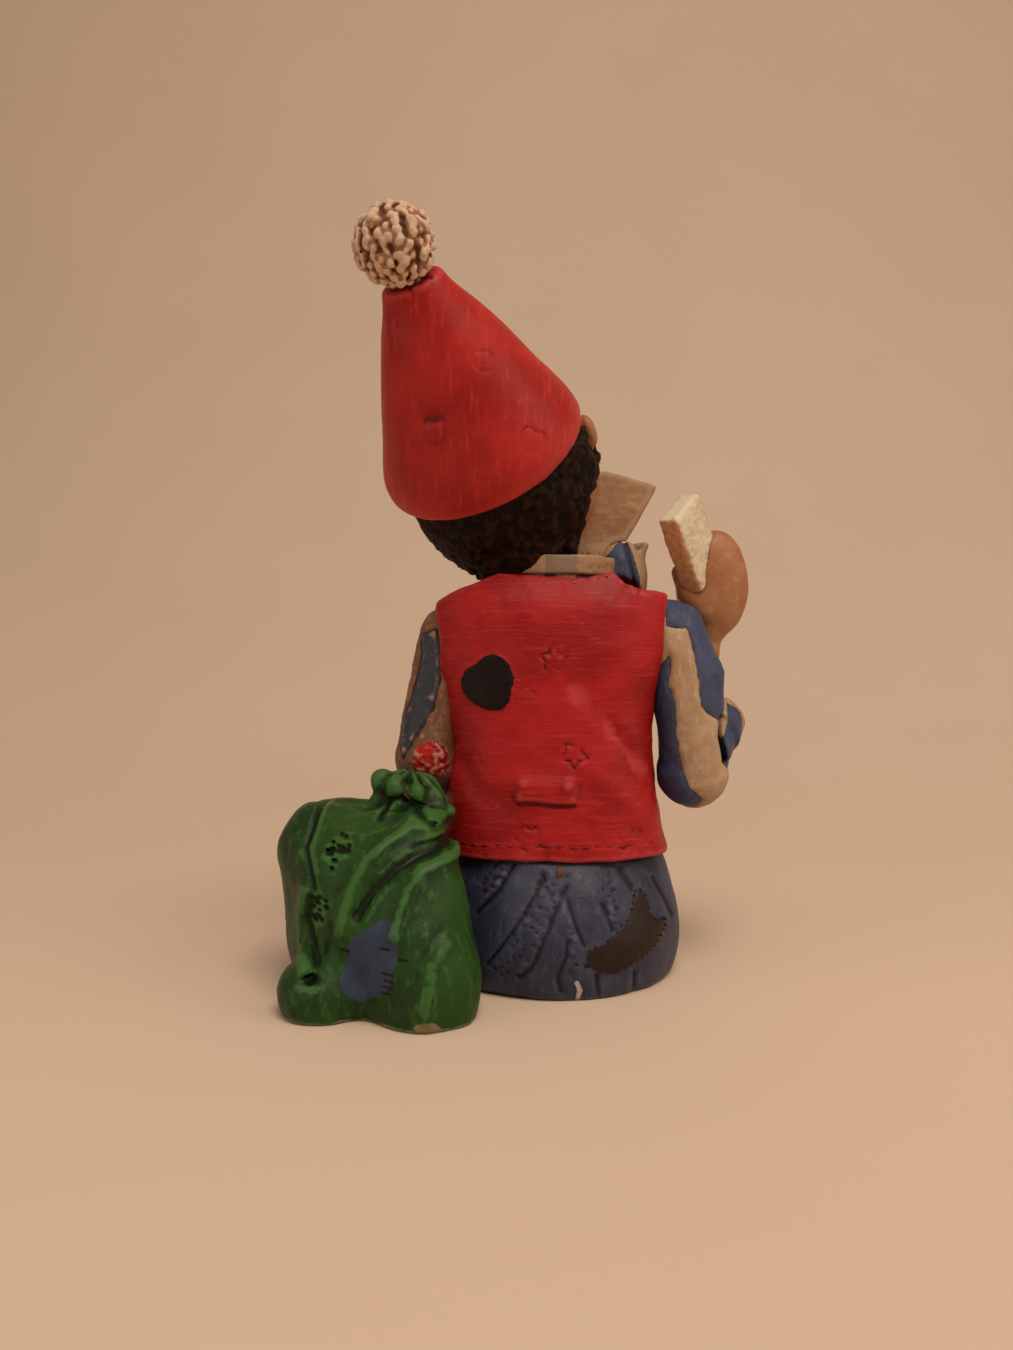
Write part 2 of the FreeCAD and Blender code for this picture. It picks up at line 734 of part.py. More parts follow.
head_mass = make_head()
head, ear_masses, eye_balls, nose_piece = make_face(head_mass, shirt_mass, vest_mass)
hair = make_hair(head_mass, [shirt_mass, vest_mass])
keep("hair", hair)
hat_mass = make_hat([head_mass, hair, *ear_masses, *eye_balls])
make_pompom(hat_mass)
shoulder_mass = make_shirt_shoulder([shirt_mass, vest_mass, head_mass, hair])
beard_mass = make_beard(head_mass, [nose_piece, shirt_mass, vest_mass, shoulder_mass])
make_collar(shirt_mass, vest_mass, [beard_mass, head_mass, hair, *ear_masses, shoulder_mass])

bread = make_bread()
sleeve_masses = {name: make_sleeve(name, [shirt_mass, vest_mass]) for name in SIDES}
cuff_cones = {name: make_cuff(name, sleeve_masses[name]) for name in SIDES}
hand_masses = {
    "right": make_hand("right", cuff_cones["right"], [sleeve_masses["right"], bread]),
    "left": make_hand("left", cuff_cones["left"], [sleeve_masses["left"], leg_masses["left"]]),
}
for name in SIDES:
    keep(f"{name}_cuff",
         cut(f"{name}_cuff", cuff_cones[name], sleeve_masses[name], hand_masses[name]))

blockers = [seat_mass, vest_mass, sleeve_masses["left"]]
sack_body = make_sack(blockers)
make_seat_patch(seat_mass, seat_grown)
make_vest_trims(vest_mass)
keep("vest_buttons", cut("vest_buttons", make_vest_buttons(shirt_mass), vest_mass))
make_elbow_patch(sleeve_masses["left"], [vest_mass])

doc.recompute()

# ---------------------------------------------------------------------------------------------
# Checks, then one STEP file for each piece
# ---------------------------------------------------------------------------------------------
faults = [f"{o.Label}: {o.State}" for o in doc.Objects if "Invalid" in o.State or "Error" in o.State]
for node, item in pieces.items():
    shape = item.Shape
    if shape.isNull() or not shape.isValid() or not shape.Solids or shape.Volume <= 0:
        faults.append(f"{node}: null, invalid or empty shape")
if faults:
    raise SystemExit("part.py stopped: " + "; ".join(faults))

# A cut can leave a sliver with almost no volume where two curved faces meet; none is a real piece.
SCRAP = 0.5

os.makedirs("parts", exist_ok=True)
for node, item in pieces.items():
    solids = [solid for solid in item.Shape.Solids if solid.Volume > SCRAP]
    dropped = [solid.Volume for solid in item.Shape.Solids if solid.Volume <= SCRAP]
    if dropped:
        print(f"{node}: left out {len(dropped)} scrap(s) of the cuts, {sum(dropped):.4f} mm3 in all")
    whole = solids[0] if len(solids) == 1 else Part.makeCompound(solids)
    whole.exportStep(f"parts/{node}.step")
    print(f"{node:20s} solids {len(solids)}  volume {item.Shape.Volume:9.1f} mm3")
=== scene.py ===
"""Looks for the seated garden gnome: each sculpted mass is modelled as clay, then painted."""

import math

import bpy
import numpy as np
import openvdb
from mathutils import Matrix, Vector


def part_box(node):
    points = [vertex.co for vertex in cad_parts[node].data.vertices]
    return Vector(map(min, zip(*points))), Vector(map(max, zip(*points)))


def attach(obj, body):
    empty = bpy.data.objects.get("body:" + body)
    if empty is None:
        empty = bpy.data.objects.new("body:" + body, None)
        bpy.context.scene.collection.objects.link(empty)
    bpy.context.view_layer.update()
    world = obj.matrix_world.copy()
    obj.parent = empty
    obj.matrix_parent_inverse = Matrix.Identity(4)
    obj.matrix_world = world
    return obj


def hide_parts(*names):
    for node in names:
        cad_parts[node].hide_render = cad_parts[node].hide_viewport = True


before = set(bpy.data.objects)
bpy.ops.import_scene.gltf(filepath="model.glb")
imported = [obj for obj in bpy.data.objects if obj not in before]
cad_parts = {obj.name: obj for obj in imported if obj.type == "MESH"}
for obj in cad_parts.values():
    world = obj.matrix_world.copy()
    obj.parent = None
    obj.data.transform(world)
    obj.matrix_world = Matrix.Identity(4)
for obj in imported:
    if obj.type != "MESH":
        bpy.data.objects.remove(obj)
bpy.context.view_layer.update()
MM = 0.001
TAU = 2 * math.pi


# =============================================================================================
# Places, all in millimetres, read from the CAD pieces
# =============================================================================================
def corners(*names):
    """The lowest and highest corner of some CAD pieces together."""
    boxes = [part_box(n) for n in names]
    low = np.min([np.array(b[0]) for b in boxes], axis=0) / MM
    high = np.max([np.array(b[1]) for b in boxes], axis=0) / MM
    return low, high


def centre(name):
    low, high = corners(name)
    return (low + high) / 2


def turned(axis, degrees):
    return np.array(Matrix.Rotation(math.radians(degrees), 3, axis))


HEAD_TURN = turned("Y", 22) @ turned("X", -18) @ turned("Z", -12)
HEAD_RADIUS = 16.0
EYE_RADIUS = 2.28
HEAD_AT = (centre("left_eye") + centre("right_eye")) / 2 - HEAD_TURN @ [0, -HEAD_RADIUS * 0.85, 1.2]


# =============================================================================================
# Clay: a grid of signed distances in millimetres, below zero inside
# =============================================================================================
def blend_min(a, b, soft):
    """The union of two forms, with the crease between them filled to a radius."""
    h = np.maximum(soft - np.abs(a - b), 0) / soft
    return np.minimum(a, b) - h * h * soft * 0.25


def blend_max(a, b, soft):
    return -blend_min(-a, -b, soft)


def local(P, at, turn=None):
    """Points as seen from a place, in axes turned with it."""
    q = [P[i] - at[i] for i in range(3)]
    if turn is None:
        return q
    t = np.asarray(turn, np.float32)
    return [t[0, i] * q[0] + t[1, i] * q[1] + t[2, i] * q[2] for i in range(3)]


def egg(P, at, radii, turn=None):
    """An ellipsoid."""
    x, y, z = local(P, at, turn)
    near = np.sqrt((x / radii[0]) ** 2 + (y / radii[1]) ** 2 + (z / radii[2]) ** 2)
    slope = np.sqrt((x / radii[0] ** 2) ** 2 + (y / radii[1] ** 2) ** 2 + (z / radii[2] ** 2) ** 2)
    return near * (near - 1) / np.maximum(slope, 1e-4)


def slab(P, at, half, soft, turn=None):
    """A box with rounded edges."""
    q = [np.abs(c) - (h - soft) for c, h in zip(local(P, at, turn), half)]
    out = np.sqrt(sum(np.maximum(c, 0) ** 2 for c in q))
    return out + np.minimum(np.maximum(np.maximum(q[0], q[1]), q[2]), 0) - soft


def sausage(P, a, b, thick_a, thick_b):
    """A round-ended limb that tapers between two points."""
    a, b = np.asarray(a, float), np.asarray(b, float)
    along = b - a
    q = [P[i] - a[i] for i in range(3)]
    share = sum(q[i] * along[i] for i in range(3)) / along.dot(along)
    share = np.clip(share, 0, 1)
    gap = np.sqrt(sum((q[i] - along[i] * share) ** 2 for i in range(3)))
    return gap - (thick_a + (thick_b - thick_a) * share)


def chain(P, points, thicks, soft=1.0):
    """Limbs joined end to end."""
    form = None
    for k in range(len(points) - 1):
        part = sausage(P, points[k], points[k + 1], thicks[k], thicks[k + 1])
        form = part if form is None else blend_min(form, part, soft)
    return form


def eased(value, stops, sizes):
    """A smooth run through stops, read at each value."""
    fine = np.linspace(stops[0], stops[-1], 240)
    run = np.interp(fine, stops, sizes)
    width = 17
    padded = np.pad(run, width // 2, mode="edge")
    run = np.convolve(padded, np.ones(width) / width, mode="valid")
    return np.interp(value, fine, run).astype(np.float32)


def column(P, levels, grow=0.0, square=2.6):
    """A standing form whose level sections are rounded rectangles: (z, half x, half y, x, y)."""
    x, y, z = P
    stops = [v[0] for v in levels]
    half_x, half_y, mid_x, mid_y = (eased(z, stops, [v[k] for v in levels]) for k in range(1, 5))
    across = np.abs(x - mid_x) + 1e-4
    deep = np.abs(y - mid_y) + 1e-4
    reach = ((across / (half_x + grow)) ** square + (deep / (half_y + grow)) ** square) ** (1 / square)
    side = np.sqrt(across**2 + deep**2) * (1 - 1 / reach)
    top = z - (stops[-1] + grow)
    return np.maximum(side, np.maximum(top, stops[0] - grow - z))


def outline_gap(u, v, points, closed=True):
    """How far points on a plane are from a drawn line."""
    runs = list(zip(points, points[1:] + points[:1] if closed else points[1:]))
    if not closed:
        runs = runs[: len(points) - 1]
    gap = None
    for (ua, va), (ub, vb) in runs:
        du, dv = ub - ua, vb - va
        share = np.clip(((u - ua) * du + (v - va) * dv) / (du * du + dv * dv + 1e-9), 0, 1)
        d = (u - ua - du * share) ** 2 + (v - va - dv * share) ** 2
        gap = d if gap is None else np.minimum(gap, d)
    return np.sqrt(gap)


def inside_outline(u, v, points):
    """Signed distance to a closed outline on a plane, below zero inside."""
    odd = np.zeros(np.broadcast(u, v).shape, bool)
    for (ua, va), (ub, vb) in zip(points, points[1:] + points[:1]):
        crosses = (va > v) != (vb > v)
        odd ^= crosses & (u < (ub - ua) * (v - va) / (vb - va + 1e-9) + ua)
    gap = outline_gap(u, v, points)
    return np.where(odd, -gap, gap)


def star(at, size, spin=0.0, points=5, seed=0):
    """An uneven star's outline round a centre, as pressed in by hand."""
    rng = np.random.default_rng(seed)
    ring = []
    for k in range(points * 4):
        angle = spin + math.pi / 2 + k * math.pi / points / 2
        reach = size * (0.74 + 0.24 * math.cos(k * math.pi / 2)) * rng.uniform(0.9, 1.1)
        ring.append((at[0] + reach * math.cos(angle), at[1] + reach * math.sin(angle)))
    return ring


def clover(at, size, spin=0.0):
    """A soft two-lobed stamp with a rounded foot."""
    ring = []
    for k in range(22):
        angle = TAU * k / 22
        reach = size * (0.78 + 0.26 * abs(math.sin(angle)) * (1 if math.sin(angle) > 0 else 0.25))
        reach -= size * 0.34 * math.exp(-((angle - math.pi / 2) / 0.34) ** 2)
        ring.append((at[0] + reach * math.cos(angle + spin), at[1] + reach * math.sin(angle + spin)))
    return ring


class Clay:
    """A block of space in which one piece is modelled."""

    def __init__(self, low, high, grain):
        self.grain = grain
        self.first = np.floor(np.asarray(low) / grain).astype(int)
        count = np.ceil(np.asarray(high) / grain).astype(int) - self.first + 1
        self.shape = tuple(int(n) for n in count)
        axes = [(self.first[i] + np.arange(self.shape[i])) * grain for i in range(3)]
        self.P = [
            axes[i].astype(np.float32).reshape([-1 if k == i else 1 for k in range(3)]) for i in range(3)
        ]
        self.d = np.full(self.shape, 9.0, np.float32)

    def of_node(self, name, reach=5.0):
        """Distances from one CAD piece."""
        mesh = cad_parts[name].data
        points = np.empty(len(mesh.vertices) * 3, np.float32)
        mesh.vertices.foreach_get("co", points)
        mesh.calc_loop_triangles()
        tris = np.empty(len(mesh.loop_triangles) * 3, np.int32)
        mesh.loop_triangles.foreach_get("vertices", tris)
        grid = openvdb.FloatGrid.createLevelSetFromPolygons(
            points.reshape(-1, 3) / MM,
            triangles=tris.reshape(-1, 3).astype(np.uint32),
            transform=openvdb.createLinearTransform(voxelSize=self.grain),
            halfWidth=reach / self.grain,
        )
        out = np.empty(self.shape, np.float32)
        grid.copyToArray(out, ijk=tuple(int(k) for k in self.first))
        return out

    def lumps(self, size, seed):
        """Seeded soft noise between -1 and 1 whose lumps are about this wide."""
        rng = np.random.default_rng(seed)
        out = rng.uniform(-1, 1, [int(n * self.grain / size) + 3 for n in self.shape])
        out = out.astype(np.float32)
        for axis in range(3):
            place = np.arange(self.shape[axis]) * self.grain / size
            cell = place.astype(int)
            share = place - cell
            share = (share * share * (3 - 2 * share)).astype(np.float32)
            share = share.reshape([-1 if k == axis else 1 for k in range(3)])
            a, b = np.take(out, cell, axis), np.take(out, cell + 1, axis)
            out = a + (b - a) * share
        return out

    def smooth(self, reach, field=None):
        """A field averaged over a short reach along each axis."""
        out = (self.d if field is None else field).copy()
        n = max(1, int(round(reach / self.grain)))
        for axis in range(3):
            total = np.zeros_like(out)
            for k in range(-n, n + 1):
                total += np.roll(out, k, axis)
            out = total / (2 * n + 1)
        return out

    def read(self, field, points):
        """A field's values at points, between its grid places."""
        place = points / self.grain - self.first
        cell = np.clip(np.floor(place).astype(int), 0, np.array(self.shape) - 2)
        share = np.clip(place - cell, 0, 1)
        out = 0
        for corner in range(8):
            step = [(corner >> k) & 1 for k in range(3)]
            weight = np.prod([share[:, k] if step[k] else 1 - share[:, k] for k in range(3)], axis=0)
            i, j, k = (cell[:, n] + step[n] for n in range(3))
            out = out + weight * field[i, j, k]
        return out

    def back_skin(self, x, z):
        """The point of the clay's surface met when coming from behind at (x, z)."""
        i = int(round(x / self.grain)) - self.first[0]
        k = int(round(z / self.grain)) - self.first[2]
        solid = np.nonzero(self.d[i, :, k] < 0)[0]
        if not len(solid):
            return None
        return (x, (self.first[1] + solid[-1] + 0.5) * self.grain, z)

    def skin(self):
        """The clay's surface as points in millimetres and four-cornered faces."""
        grid = openvdb.FloatGrid(9.0)
        grid.copyFromArray(self.d, ijk=tuple(int(k) for k in self.first))
        grid.transform = openvdb.createLinearTransform(voxelSize=self.grain)
        return grid.convertToQuads(0.0)


def cast(clay, name, nodes, material, paints=None, bend=6.0):
    """Turns clay into a finished mesh that stands for its CAD pieces.

    Every point carries "hollow" (above zero in creases, below on edges) and one value per paint.
    """
    points, quads = clay.skin()
    mesh = bpy.data.meshes.new(name)
    mesh.vertices.add(len(points))
    mesh.vertices.foreach_set("co", (points * MM).astype(np.float32).ravel())
    mesh.loops.add(len(quads) * 4)
    mesh.loops.foreach_set("vertex_index", quads.astype(np.int32).ravel())
    mesh.polygons.add(len(quads))
    mesh.polygons.foreach_set("loop_start", np.arange(len(quads), dtype=np.int32) * 4)
    mesh.update(calc_edges=True)
    a, b, c = (points[quads[:, k]] for k in range(3))
    if np.einsum("ij,ij->i", a, np.cross(b, c)).sum() < 0:
        mesh.flip_normals()
    mesh.polygons.foreach_set("use_smooth", np.ones(len(quads), bool))
    bent = clay.read(clay.d - clay.smooth(0.9), points) * bend
    values = {key: 9.0 for key in COATS.get(material.name, ())}
    values["hollow"] = np.clip(bent, -1, 1)
    at = [points[:, k] for k in range(3)]
    for paint, rule in (paints or {}).items():
        values[paint] = rule(at)
    for key, value in values.items():
        value = np.broadcast_to(value, len(points))
        layer = mesh.attributes.new(key, "FLOAT", "POINT")
        layer.data.foreach_set("value", np.ascontiguousarray(value, np.float32))
    mesh.materials.append(material)
    piece = bpy.data.objects.new(name, mesh)
    bpy.context.scene.collection.objects.link(piece)
    finish_piece(piece, nodes)
    return piece


def finish_piece(piece, nodes):
    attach(piece, "root")
    if nodes:
        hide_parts(*nodes)


# =============================================================================================
# Materials: resin cast in a soft mould, sealed, then painted by hand with acrylics
# =============================================================================================
def linear(code):
    """An sRGB hex colour as linear red, green, blue and alpha."""
    out = []
    for k in (0, 2, 4):
        c = int(code[k : k + 2], 16) / 255
        out.append(c / 12.92 if c <= 0.04045 else ((c + 0.055) / 1.055) ** 2.4)
    return (*out, 1.0)


def add(tree, kind, settings=None, links=None):
    """Adds a node; settings name its properties or inputs, links name its inputs' sources."""
    made = tree.nodes.new(kind)
    for key, value in (settings or {}).items():
        if isinstance(key, str) and hasattr(made, key):
            setattr(made, key, value)
        else:
            made.inputs[key].default_value = linear(value) if isinstance(value, str) else value
    for key, source in (links or {}).items():
        if isinstance(source, bpy.types.Node):
            source = source.outputs["Result"] if "Result" in source.outputs else source.outputs[0]
        tree.links.new(source, made.inputs[key])
    return made


SPREAD = {"interpolation_type": "SMOOTHSTEP", 3: 0.0, 4: 1.0}
BLEND = {"data_type": "RGBA", "clamp_factor": True}
COATS = {}


def painted_resin(
    name, body, deep, light, coats=(), rough=0.5, stroke=(0.6, 5.0, 0.6), relief=0.12,
    grain_mm=0.5, grain_depth=0.05, crease_wash_and_shade="1a100a", crease_wash_and_shade_amount=0.6, edge_wear_and_highlight=None, edge_wear_and_highlight_amount=0.5,
    edge_mm=0.25, specular=0.3,
):
    """Acrylic brushed over sealed resin.

    body, deep and light are the paint's own shades; coats are (attribute, colour, width in mm)
    laid over it where the attribute is below zero; the wash colour darkens creases, partly as thin
    dark paint left there and partly as painted shade; the wear colour lightens raised edges, partly
    as rubbed paint and partly as a painted highlight.
    """
    COATS[name] = [coat[0] for coat in coats]
    material = bpy.data.materials.new(name)
    material.use_nodes = True
    tree = material.node_tree
    tree.nodes.clear()
    place = add(tree, "ShaderNodeTexCoord").outputs["Object"]
    per_mm = 1 / MM
    broad = add(tree, "ShaderNodeTexNoise", {"Scale": per_mm / 9.0, "Detail": 3.0}, {"Vector": place})
    stretch = add(tree, "ShaderNodeMapping", {"Scale": tuple(per_mm / s for s in stroke)},
                  {"Vector": place})
    streaks = add(tree, "ShaderNodeTexNoise", {"Scale": 1.0, "Detail": 4.0, "Roughness": 0.6},
                  {"Vector": stretch})
    grains = add(tree, "ShaderNodeTexNoise", {"Scale": per_mm / grain_mm, "Detail": 2.0},
                 {"Vector": place})
    ragged = add(tree, "ShaderNodeTexNoise", {"Scale": per_mm / 1.1, "Detail": 3.0}, {"Vector": place})
    patches = add(tree, "ShaderNodeMapRange", {**SPREAD, 1: 0.36, 2: 0.66}, {0: broad})
    colour = add(tree, "ShaderNodeMix", {**BLEND, 6: deep, 7: body}, {0: patches})
    strokes = add(tree, "ShaderNodeMapRange", {**SPREAD, 1: 0.5, 2: 0.78}, {0: streaks})
    colour = add(tree, "ShaderNodeMix", {**BLEND, 7: light}, {0: strokes, 6: colour.outputs[2]})
    thickness = add(tree, "ShaderNodeMath", {"operation": "MULTIPLY", 1: 0.5}, {0: streaks})
    thin = add(tree, "ShaderNodeMapRange", {**SPREAD, 1: 0.25, 2: 0.7, 3: 0.28, 4: 0.0}, {0: streaks})
    for attribute, shade, width in coats:
        gap = add(tree, "ShaderNodeAttribute", {"attribute_name": attribute}).outputs["Fac"]
        waver = add(tree, "ShaderNodeMath", {"operation": "MULTIPLY_ADD", 1: width * 2, 2: -width},
                    {0: ragged})
        gap = add(tree, "ShaderNodeMath", {"operation": "ADD"}, {0: gap, 1: waver})
        cover = add(tree, "ShaderNodeMapRange", {**SPREAD, 1: edge_mm / 2, 2: -edge_mm / 2}, {0: gap})
        paint = add(tree, "ShaderNodeMix", {**BLEND, 6: shade, 7: "000000"}, {0: thin})
        colour = add(tree, "ShaderNodeMix", BLEND,
                     {0: cover, 6: colour.outputs[2], 7: paint.outputs[2]})
        thickness = add(tree, "ShaderNodeMath", {"operation": "MULTIPLY_ADD", 1: 0.5},
                        {0: cover, 2: thickness})
    hollow = add(tree, "ShaderNodeAttribute", {"attribute_name": "hollow"}).outputs["Fac"]
    noisy = add(tree, "ShaderNodeMath", {"operation": "MULTIPLY_ADD", 1: 0.5, 2: -0.25}, {0: grains})
    crease = add(tree, "ShaderNodeMath", {"operation": "ADD"}, {0: hollow, 1: noisy})
    # Creases darken towards the wash colour: partly thin paint left there, partly painted shade.
    dark = add(tree, "ShaderNodeMapRange", {**SPREAD, 1: 0.12, 2: 0.75, 4: crease_wash_and_shade_amount}, {0: crease})
    colour = add(tree, "ShaderNodeMix", {**BLEND, 7: crease_wash_and_shade}, {0: dark, 6: colour.outputs[2]})
    if edge_wear_and_highlight:
        # Raised edges lighten towards the wear colour: partly rubbed paint, partly a painted highlight.
        rubbed = add(tree, "ShaderNodeMapRange", {**SPREAD, 1: -0.35, 2: -0.85, 4: edge_wear_and_highlight_amount},
                     {0: crease})
        colour = add(tree, "ShaderNodeMix", {**BLEND, 7: edge_wear_and_highlight}, {0: rubbed, 6: colour.outputs[2]})
    height = add(tree, "ShaderNodeMath", {"operation": "MULTIPLY_ADD", 1: grain_depth / relief},
                 {0: grains, 2: thickness})
    bump = add(tree, "ShaderNodeBump", {"Strength": 1.0, "Distance": relief * MM}, {"Height": height})
    shine = add(tree, "ShaderNodeMapRange", {1: 0.3, 2: 0.7, 3: rough - 0.08, 4: rough + 0.1},
                {0: broad})
    shader = add(
        tree, "ShaderNodeBsdfPrincipled", {"Specular IOR Level": specular, "IOR": 1.49},
        {"Base Color": colour.outputs[2], "Roughness": shine, "Normal": bump},
    )
    add(tree, "ShaderNodeOutputMaterial", None, {"Surface": shader})
    return material


MATERIALS = {}


def make_materials():
    m = MATERIALS
    # Satin acrylic brushed round the hat: a smooth glaze with faint streaks that follow the cone.
    m["hat"] = painted_resin("brushed_acrylic_red_hat", "ad231f", "971a16", "bc322d", rough=0.42,
                             stroke=(0.7, 4.0, 5.0), relief=0.06, crease_wash_and_shade="420706", crease_wash_and_shade_amount=0.55,
                             edge_wear_and_highlight="c34a45", edge_wear_and_highlight_amount=0.35, specular=0.22)
    # Matt acrylic dragged sideways over moulded cloth: fine level brush lines catch the light.
    m["vest"] = painted_resin("brushed_acrylic_red_vest", "a51a1b", "8e1213", "b22a2a",
                              coats=[("patch", "120200", 0.22)], rough=0.46,
                              stroke=(6.0, 6.0, 0.45), relief=0.14,
                              grain_mm=0.42, grain_depth=0.05, crease_wash_and_shade="310505", crease_wash_and_shade_amount=0.7,
                              edge_wear_and_highlight="bd4446", edge_wear_and_highlight_amount=0.5, specular=0.2)
    # The thread of the vest's edge, moulded and then lined in darker red.
    m["vest_thread"] = painted_resin("lined_acrylic_dark_red_thread", "7d1512", "5c0d0b", "a32a24",
                                     rough=0.55, relief=0.04, grain_depth=0.02)
    # The same thread at the neck, worn back to pale pink where fingers have rubbed it.
    m["neck_thread"] = painted_resin("rubbed_acrylic_pink_thread", "b06a5c", "9a4a40", "c98f80",
                                     rough=0.55, relief=0.04, grain_depth=0.02)
    # Thick brown-black paint stippled over rough clay: no shine; the warm brown on the peaks is a painted
    # highlight, and the creases are darkened partly by paint and partly as painted shade.
    m["hair"] = painted_resin("stippled_acrylic_dark_hair", "1c0a03", "100502", "2f1607", rough=0.6,
                              stroke=(0.8, 0.8, 1.6), relief=0.25, grain_mm=0.55, grain_depth=0.16,
                              crease_wash_and_shade="050201", crease_wash_and_shade_amount=0.8, edge_wear_and_highlight="3a2210", edge_wear_and_highlight_amount=0.45, specular=0.12)
    # Flesh acrylic sealed with satin varnish: warm, a little brown in the creases, partly paint left there
    # and partly painted shade.
    m["skin"] = painted_resin("varnished_acrylic_skin", "a87550", "99623e", "b28360",
                              coats=[("lips", "834130", 0.15), ("blush", "a36348", 0.9)], rough=0.42,
                              stroke=(3.0, 3.0, 3.0), relief=0.03, crease_wash_and_shade="482312", crease_wash_and_shade_amount=0.7,
                              edge_mm=0.9)
    # Cream cloth with wide blue stripes painted by eye: uneven edges and a thin dark line by them; the
    # near-black coat in the slit at the elbow is painted shade.
    m["shirt"] = painted_resin("hand_striped_acrylic_shirt", "b29476", "a07f5e", "bca88e",
                               coats=[("stripe_line", "2e211f", 0.18), ("stripe", "404a68", 0.2),
                                      ("hole", "1c120c", 0.15)],
                               rough=0.5, stroke=(0.8, 0.8, 4.0), relief=0.16, grain_mm=0.5,
                               grain_depth=0.08, crease_wash_and_shade="2f1c12", crease_wash_and_shade_amount=0.65)
    # The same striped cloth, painted darker all over as painted shade for the arm out of the light: thinner
    # paint rubbed to pink, and a red wool darn.
    m["left_shirt"] = painted_resin("hand_striped_acrylic_left_sleeve_painted_shade", "7f5940", "6a4730", "8f6b53",
                                    coats=[("stripe_line", "251716", 0.18), ("stripe", "373b45", 0.2),
                                           ("darn", "a81214", 0.3)],
                                    rough=0.5, stroke=(0.8, 0.8, 3.0), relief=0.18, grain_mm=0.45,
                                    grain_depth=0.12, crease_wash_and_shade="200c06", crease_wash_and_shade_amount=0.7,
                                    edge_wear_and_highlight="b98a74", edge_wear_and_highlight_amount=0.6)
    # Cream acrylic on a thin stiff collar, painted tan all over as painted shade for a collar that faces away
    # from the light, with lighter edges as a painted highlight.
    m["collar"] = painted_resin("brushed_acrylic_cream_collar_painted_shade", "9d7552", "8e6442", "aa8968",
                                coats=[("stripe_line", "2a1c1a", 0.12), ("stripe", "2c3148", 0.15)],
                                rough=0.5, stroke=(3.0, 3.0, 0.8), relief=0.08, crease_wash_and_shade="341a0b",
                                edge_wear_and_highlight="b09375")
    # Slate-blue acrylic over scored clay: dark wash sits in the pits and scored lines, partly paint and
    # partly painted shade.
    m["trousers"] = painted_resin("washed_acrylic_slate_trousers", "383b51", "2a2d3f", "484c63",
                                  coats=[("rust", "562d1d", 0.5), ("chip", "bdb4a9", 0.2),
                                         ("patch", "26150b", 0.28)],
                                  rough=0.46, stroke=(1.2, 1.2, 3.0), relief=0.12, grain_mm=0.5,
                                  grain_depth=0.06, crease_wash_and_shade="0b070b", crease_wash_and_shade_amount=0.85,
                                  edge_wear_and_highlight="63657b", edge_wear_and_highlight_amount=0.35)
    # Flat brown-black acrylic on a sewn patch: no shine, browner on raised edges, partly worn paint and
    # partly a painted highlight.
    m["patch"] = painted_resin("matt_acrylic_dark_patch", "2b1a12", "1d110b", "3c271b", rough=0.6,
                               stroke=(0.8, 0.8, 0.8), relief=0.12, grain_mm=0.4, grain_depth=0.08,
                               crease_wash_and_shade="0a0504", edge_wear_and_highlight="5c3f2c")
    # Green glaze on the sack, pooled in its folds: glossy; the folds painted near black as painted shade and
    # the ridges painted brighter as a painted highlight.
    m["sack"] = painted_resin("glazed_acrylic_green_sack", "244816", "183312", "366226",
                              coats=[("patch", "36425a", 0.35), ("stitch", "070706", 0.08),
                                     ("hole", "050403", 0.1), ("chip", "977f64", 0.3)],
                              rough=0.48, stroke=(1.4, 1.4, 3.5), relief=0.08, crease_wash_and_shade="061306",
                              crease_wash_and_shade_amount=0.85, edge_wear_and_highlight="447239", edge_wear_and_highlight_amount=0.6, specular=0.22)
    # Brown acrylic over moulded twine: darker between the strands, partly a paint wash and partly painted
    # shade, straw on their tops.
    m["rope"] = painted_resin("brown_acrylic_twine", "8a5b34", "6a4023", "b08252", rough=0.6,
                              stroke=(0.5, 0.5, 0.5), relief=0.12, crease_wash_and_shade="20120a")
    # Bread: toasted orange crust round a pale dry crumb.
    m["bread"] = painted_resin("matt_acrylic_bread", "d7cbb0", "c5b292", "e2dfcf",
                               coats=[("crust", "cf996c", 0.2)], rough=0.6,
                               stroke=(0.8, 0.8, 0.8), relief=0.16, grain_mm=0.7, grain_depth=0.12,
                               crease_wash_and_shade="735339", crease_wash_and_shade_amount=0.5, edge_mm=0.5)
    # Fleece modelled as small lumps, tan with cream on their tops and darker tan between them: partly
    # dry-brushed paint and wash, partly painted highlight and painted shade.
    m["fleece"] = painted_resin("dry_brushed_acrylic_fleece_with_painted_shade", "a87b56", "8f5f3b", "c19b78",
                                rough=0.6, stroke=(0.8, 0.8, 0.8), relief=0.2, grain_mm=0.5,
                                grain_depth=0.12, crease_wash_and_shade="4b2813", crease_wash_and_shade_amount=0.9, edge_wear_and_highlight="cfb39b",
                                edge_wear_and_highlight_amount=0.95)
    # Brown acrylic under satin varnish: a soft shine like old leather, paler on raised edges such as the
    # toes, partly scuffs and partly a painted highlight.
    m["boots"] = painted_resin("satin_acrylic_brown_boots", "5a3820", "41260f", "7a5232", rough=0.4,
                               stroke=(2.0, 2.0, 2.0), relief=0.06, crease_wash_and_shade="160b05", edge_wear_and_highlight="94694a")
    # Near-black acrylic left unvarnished: dull like rubber.
    m["soles"] = painted_resin("matt_acrylic_black_soles", "2a201a", "1c1511", "3c302a", rough=0.6,
                               stroke=(2.0, 2.0, 2.0), relief=0.06, crease_wash_and_shade="0a0705")
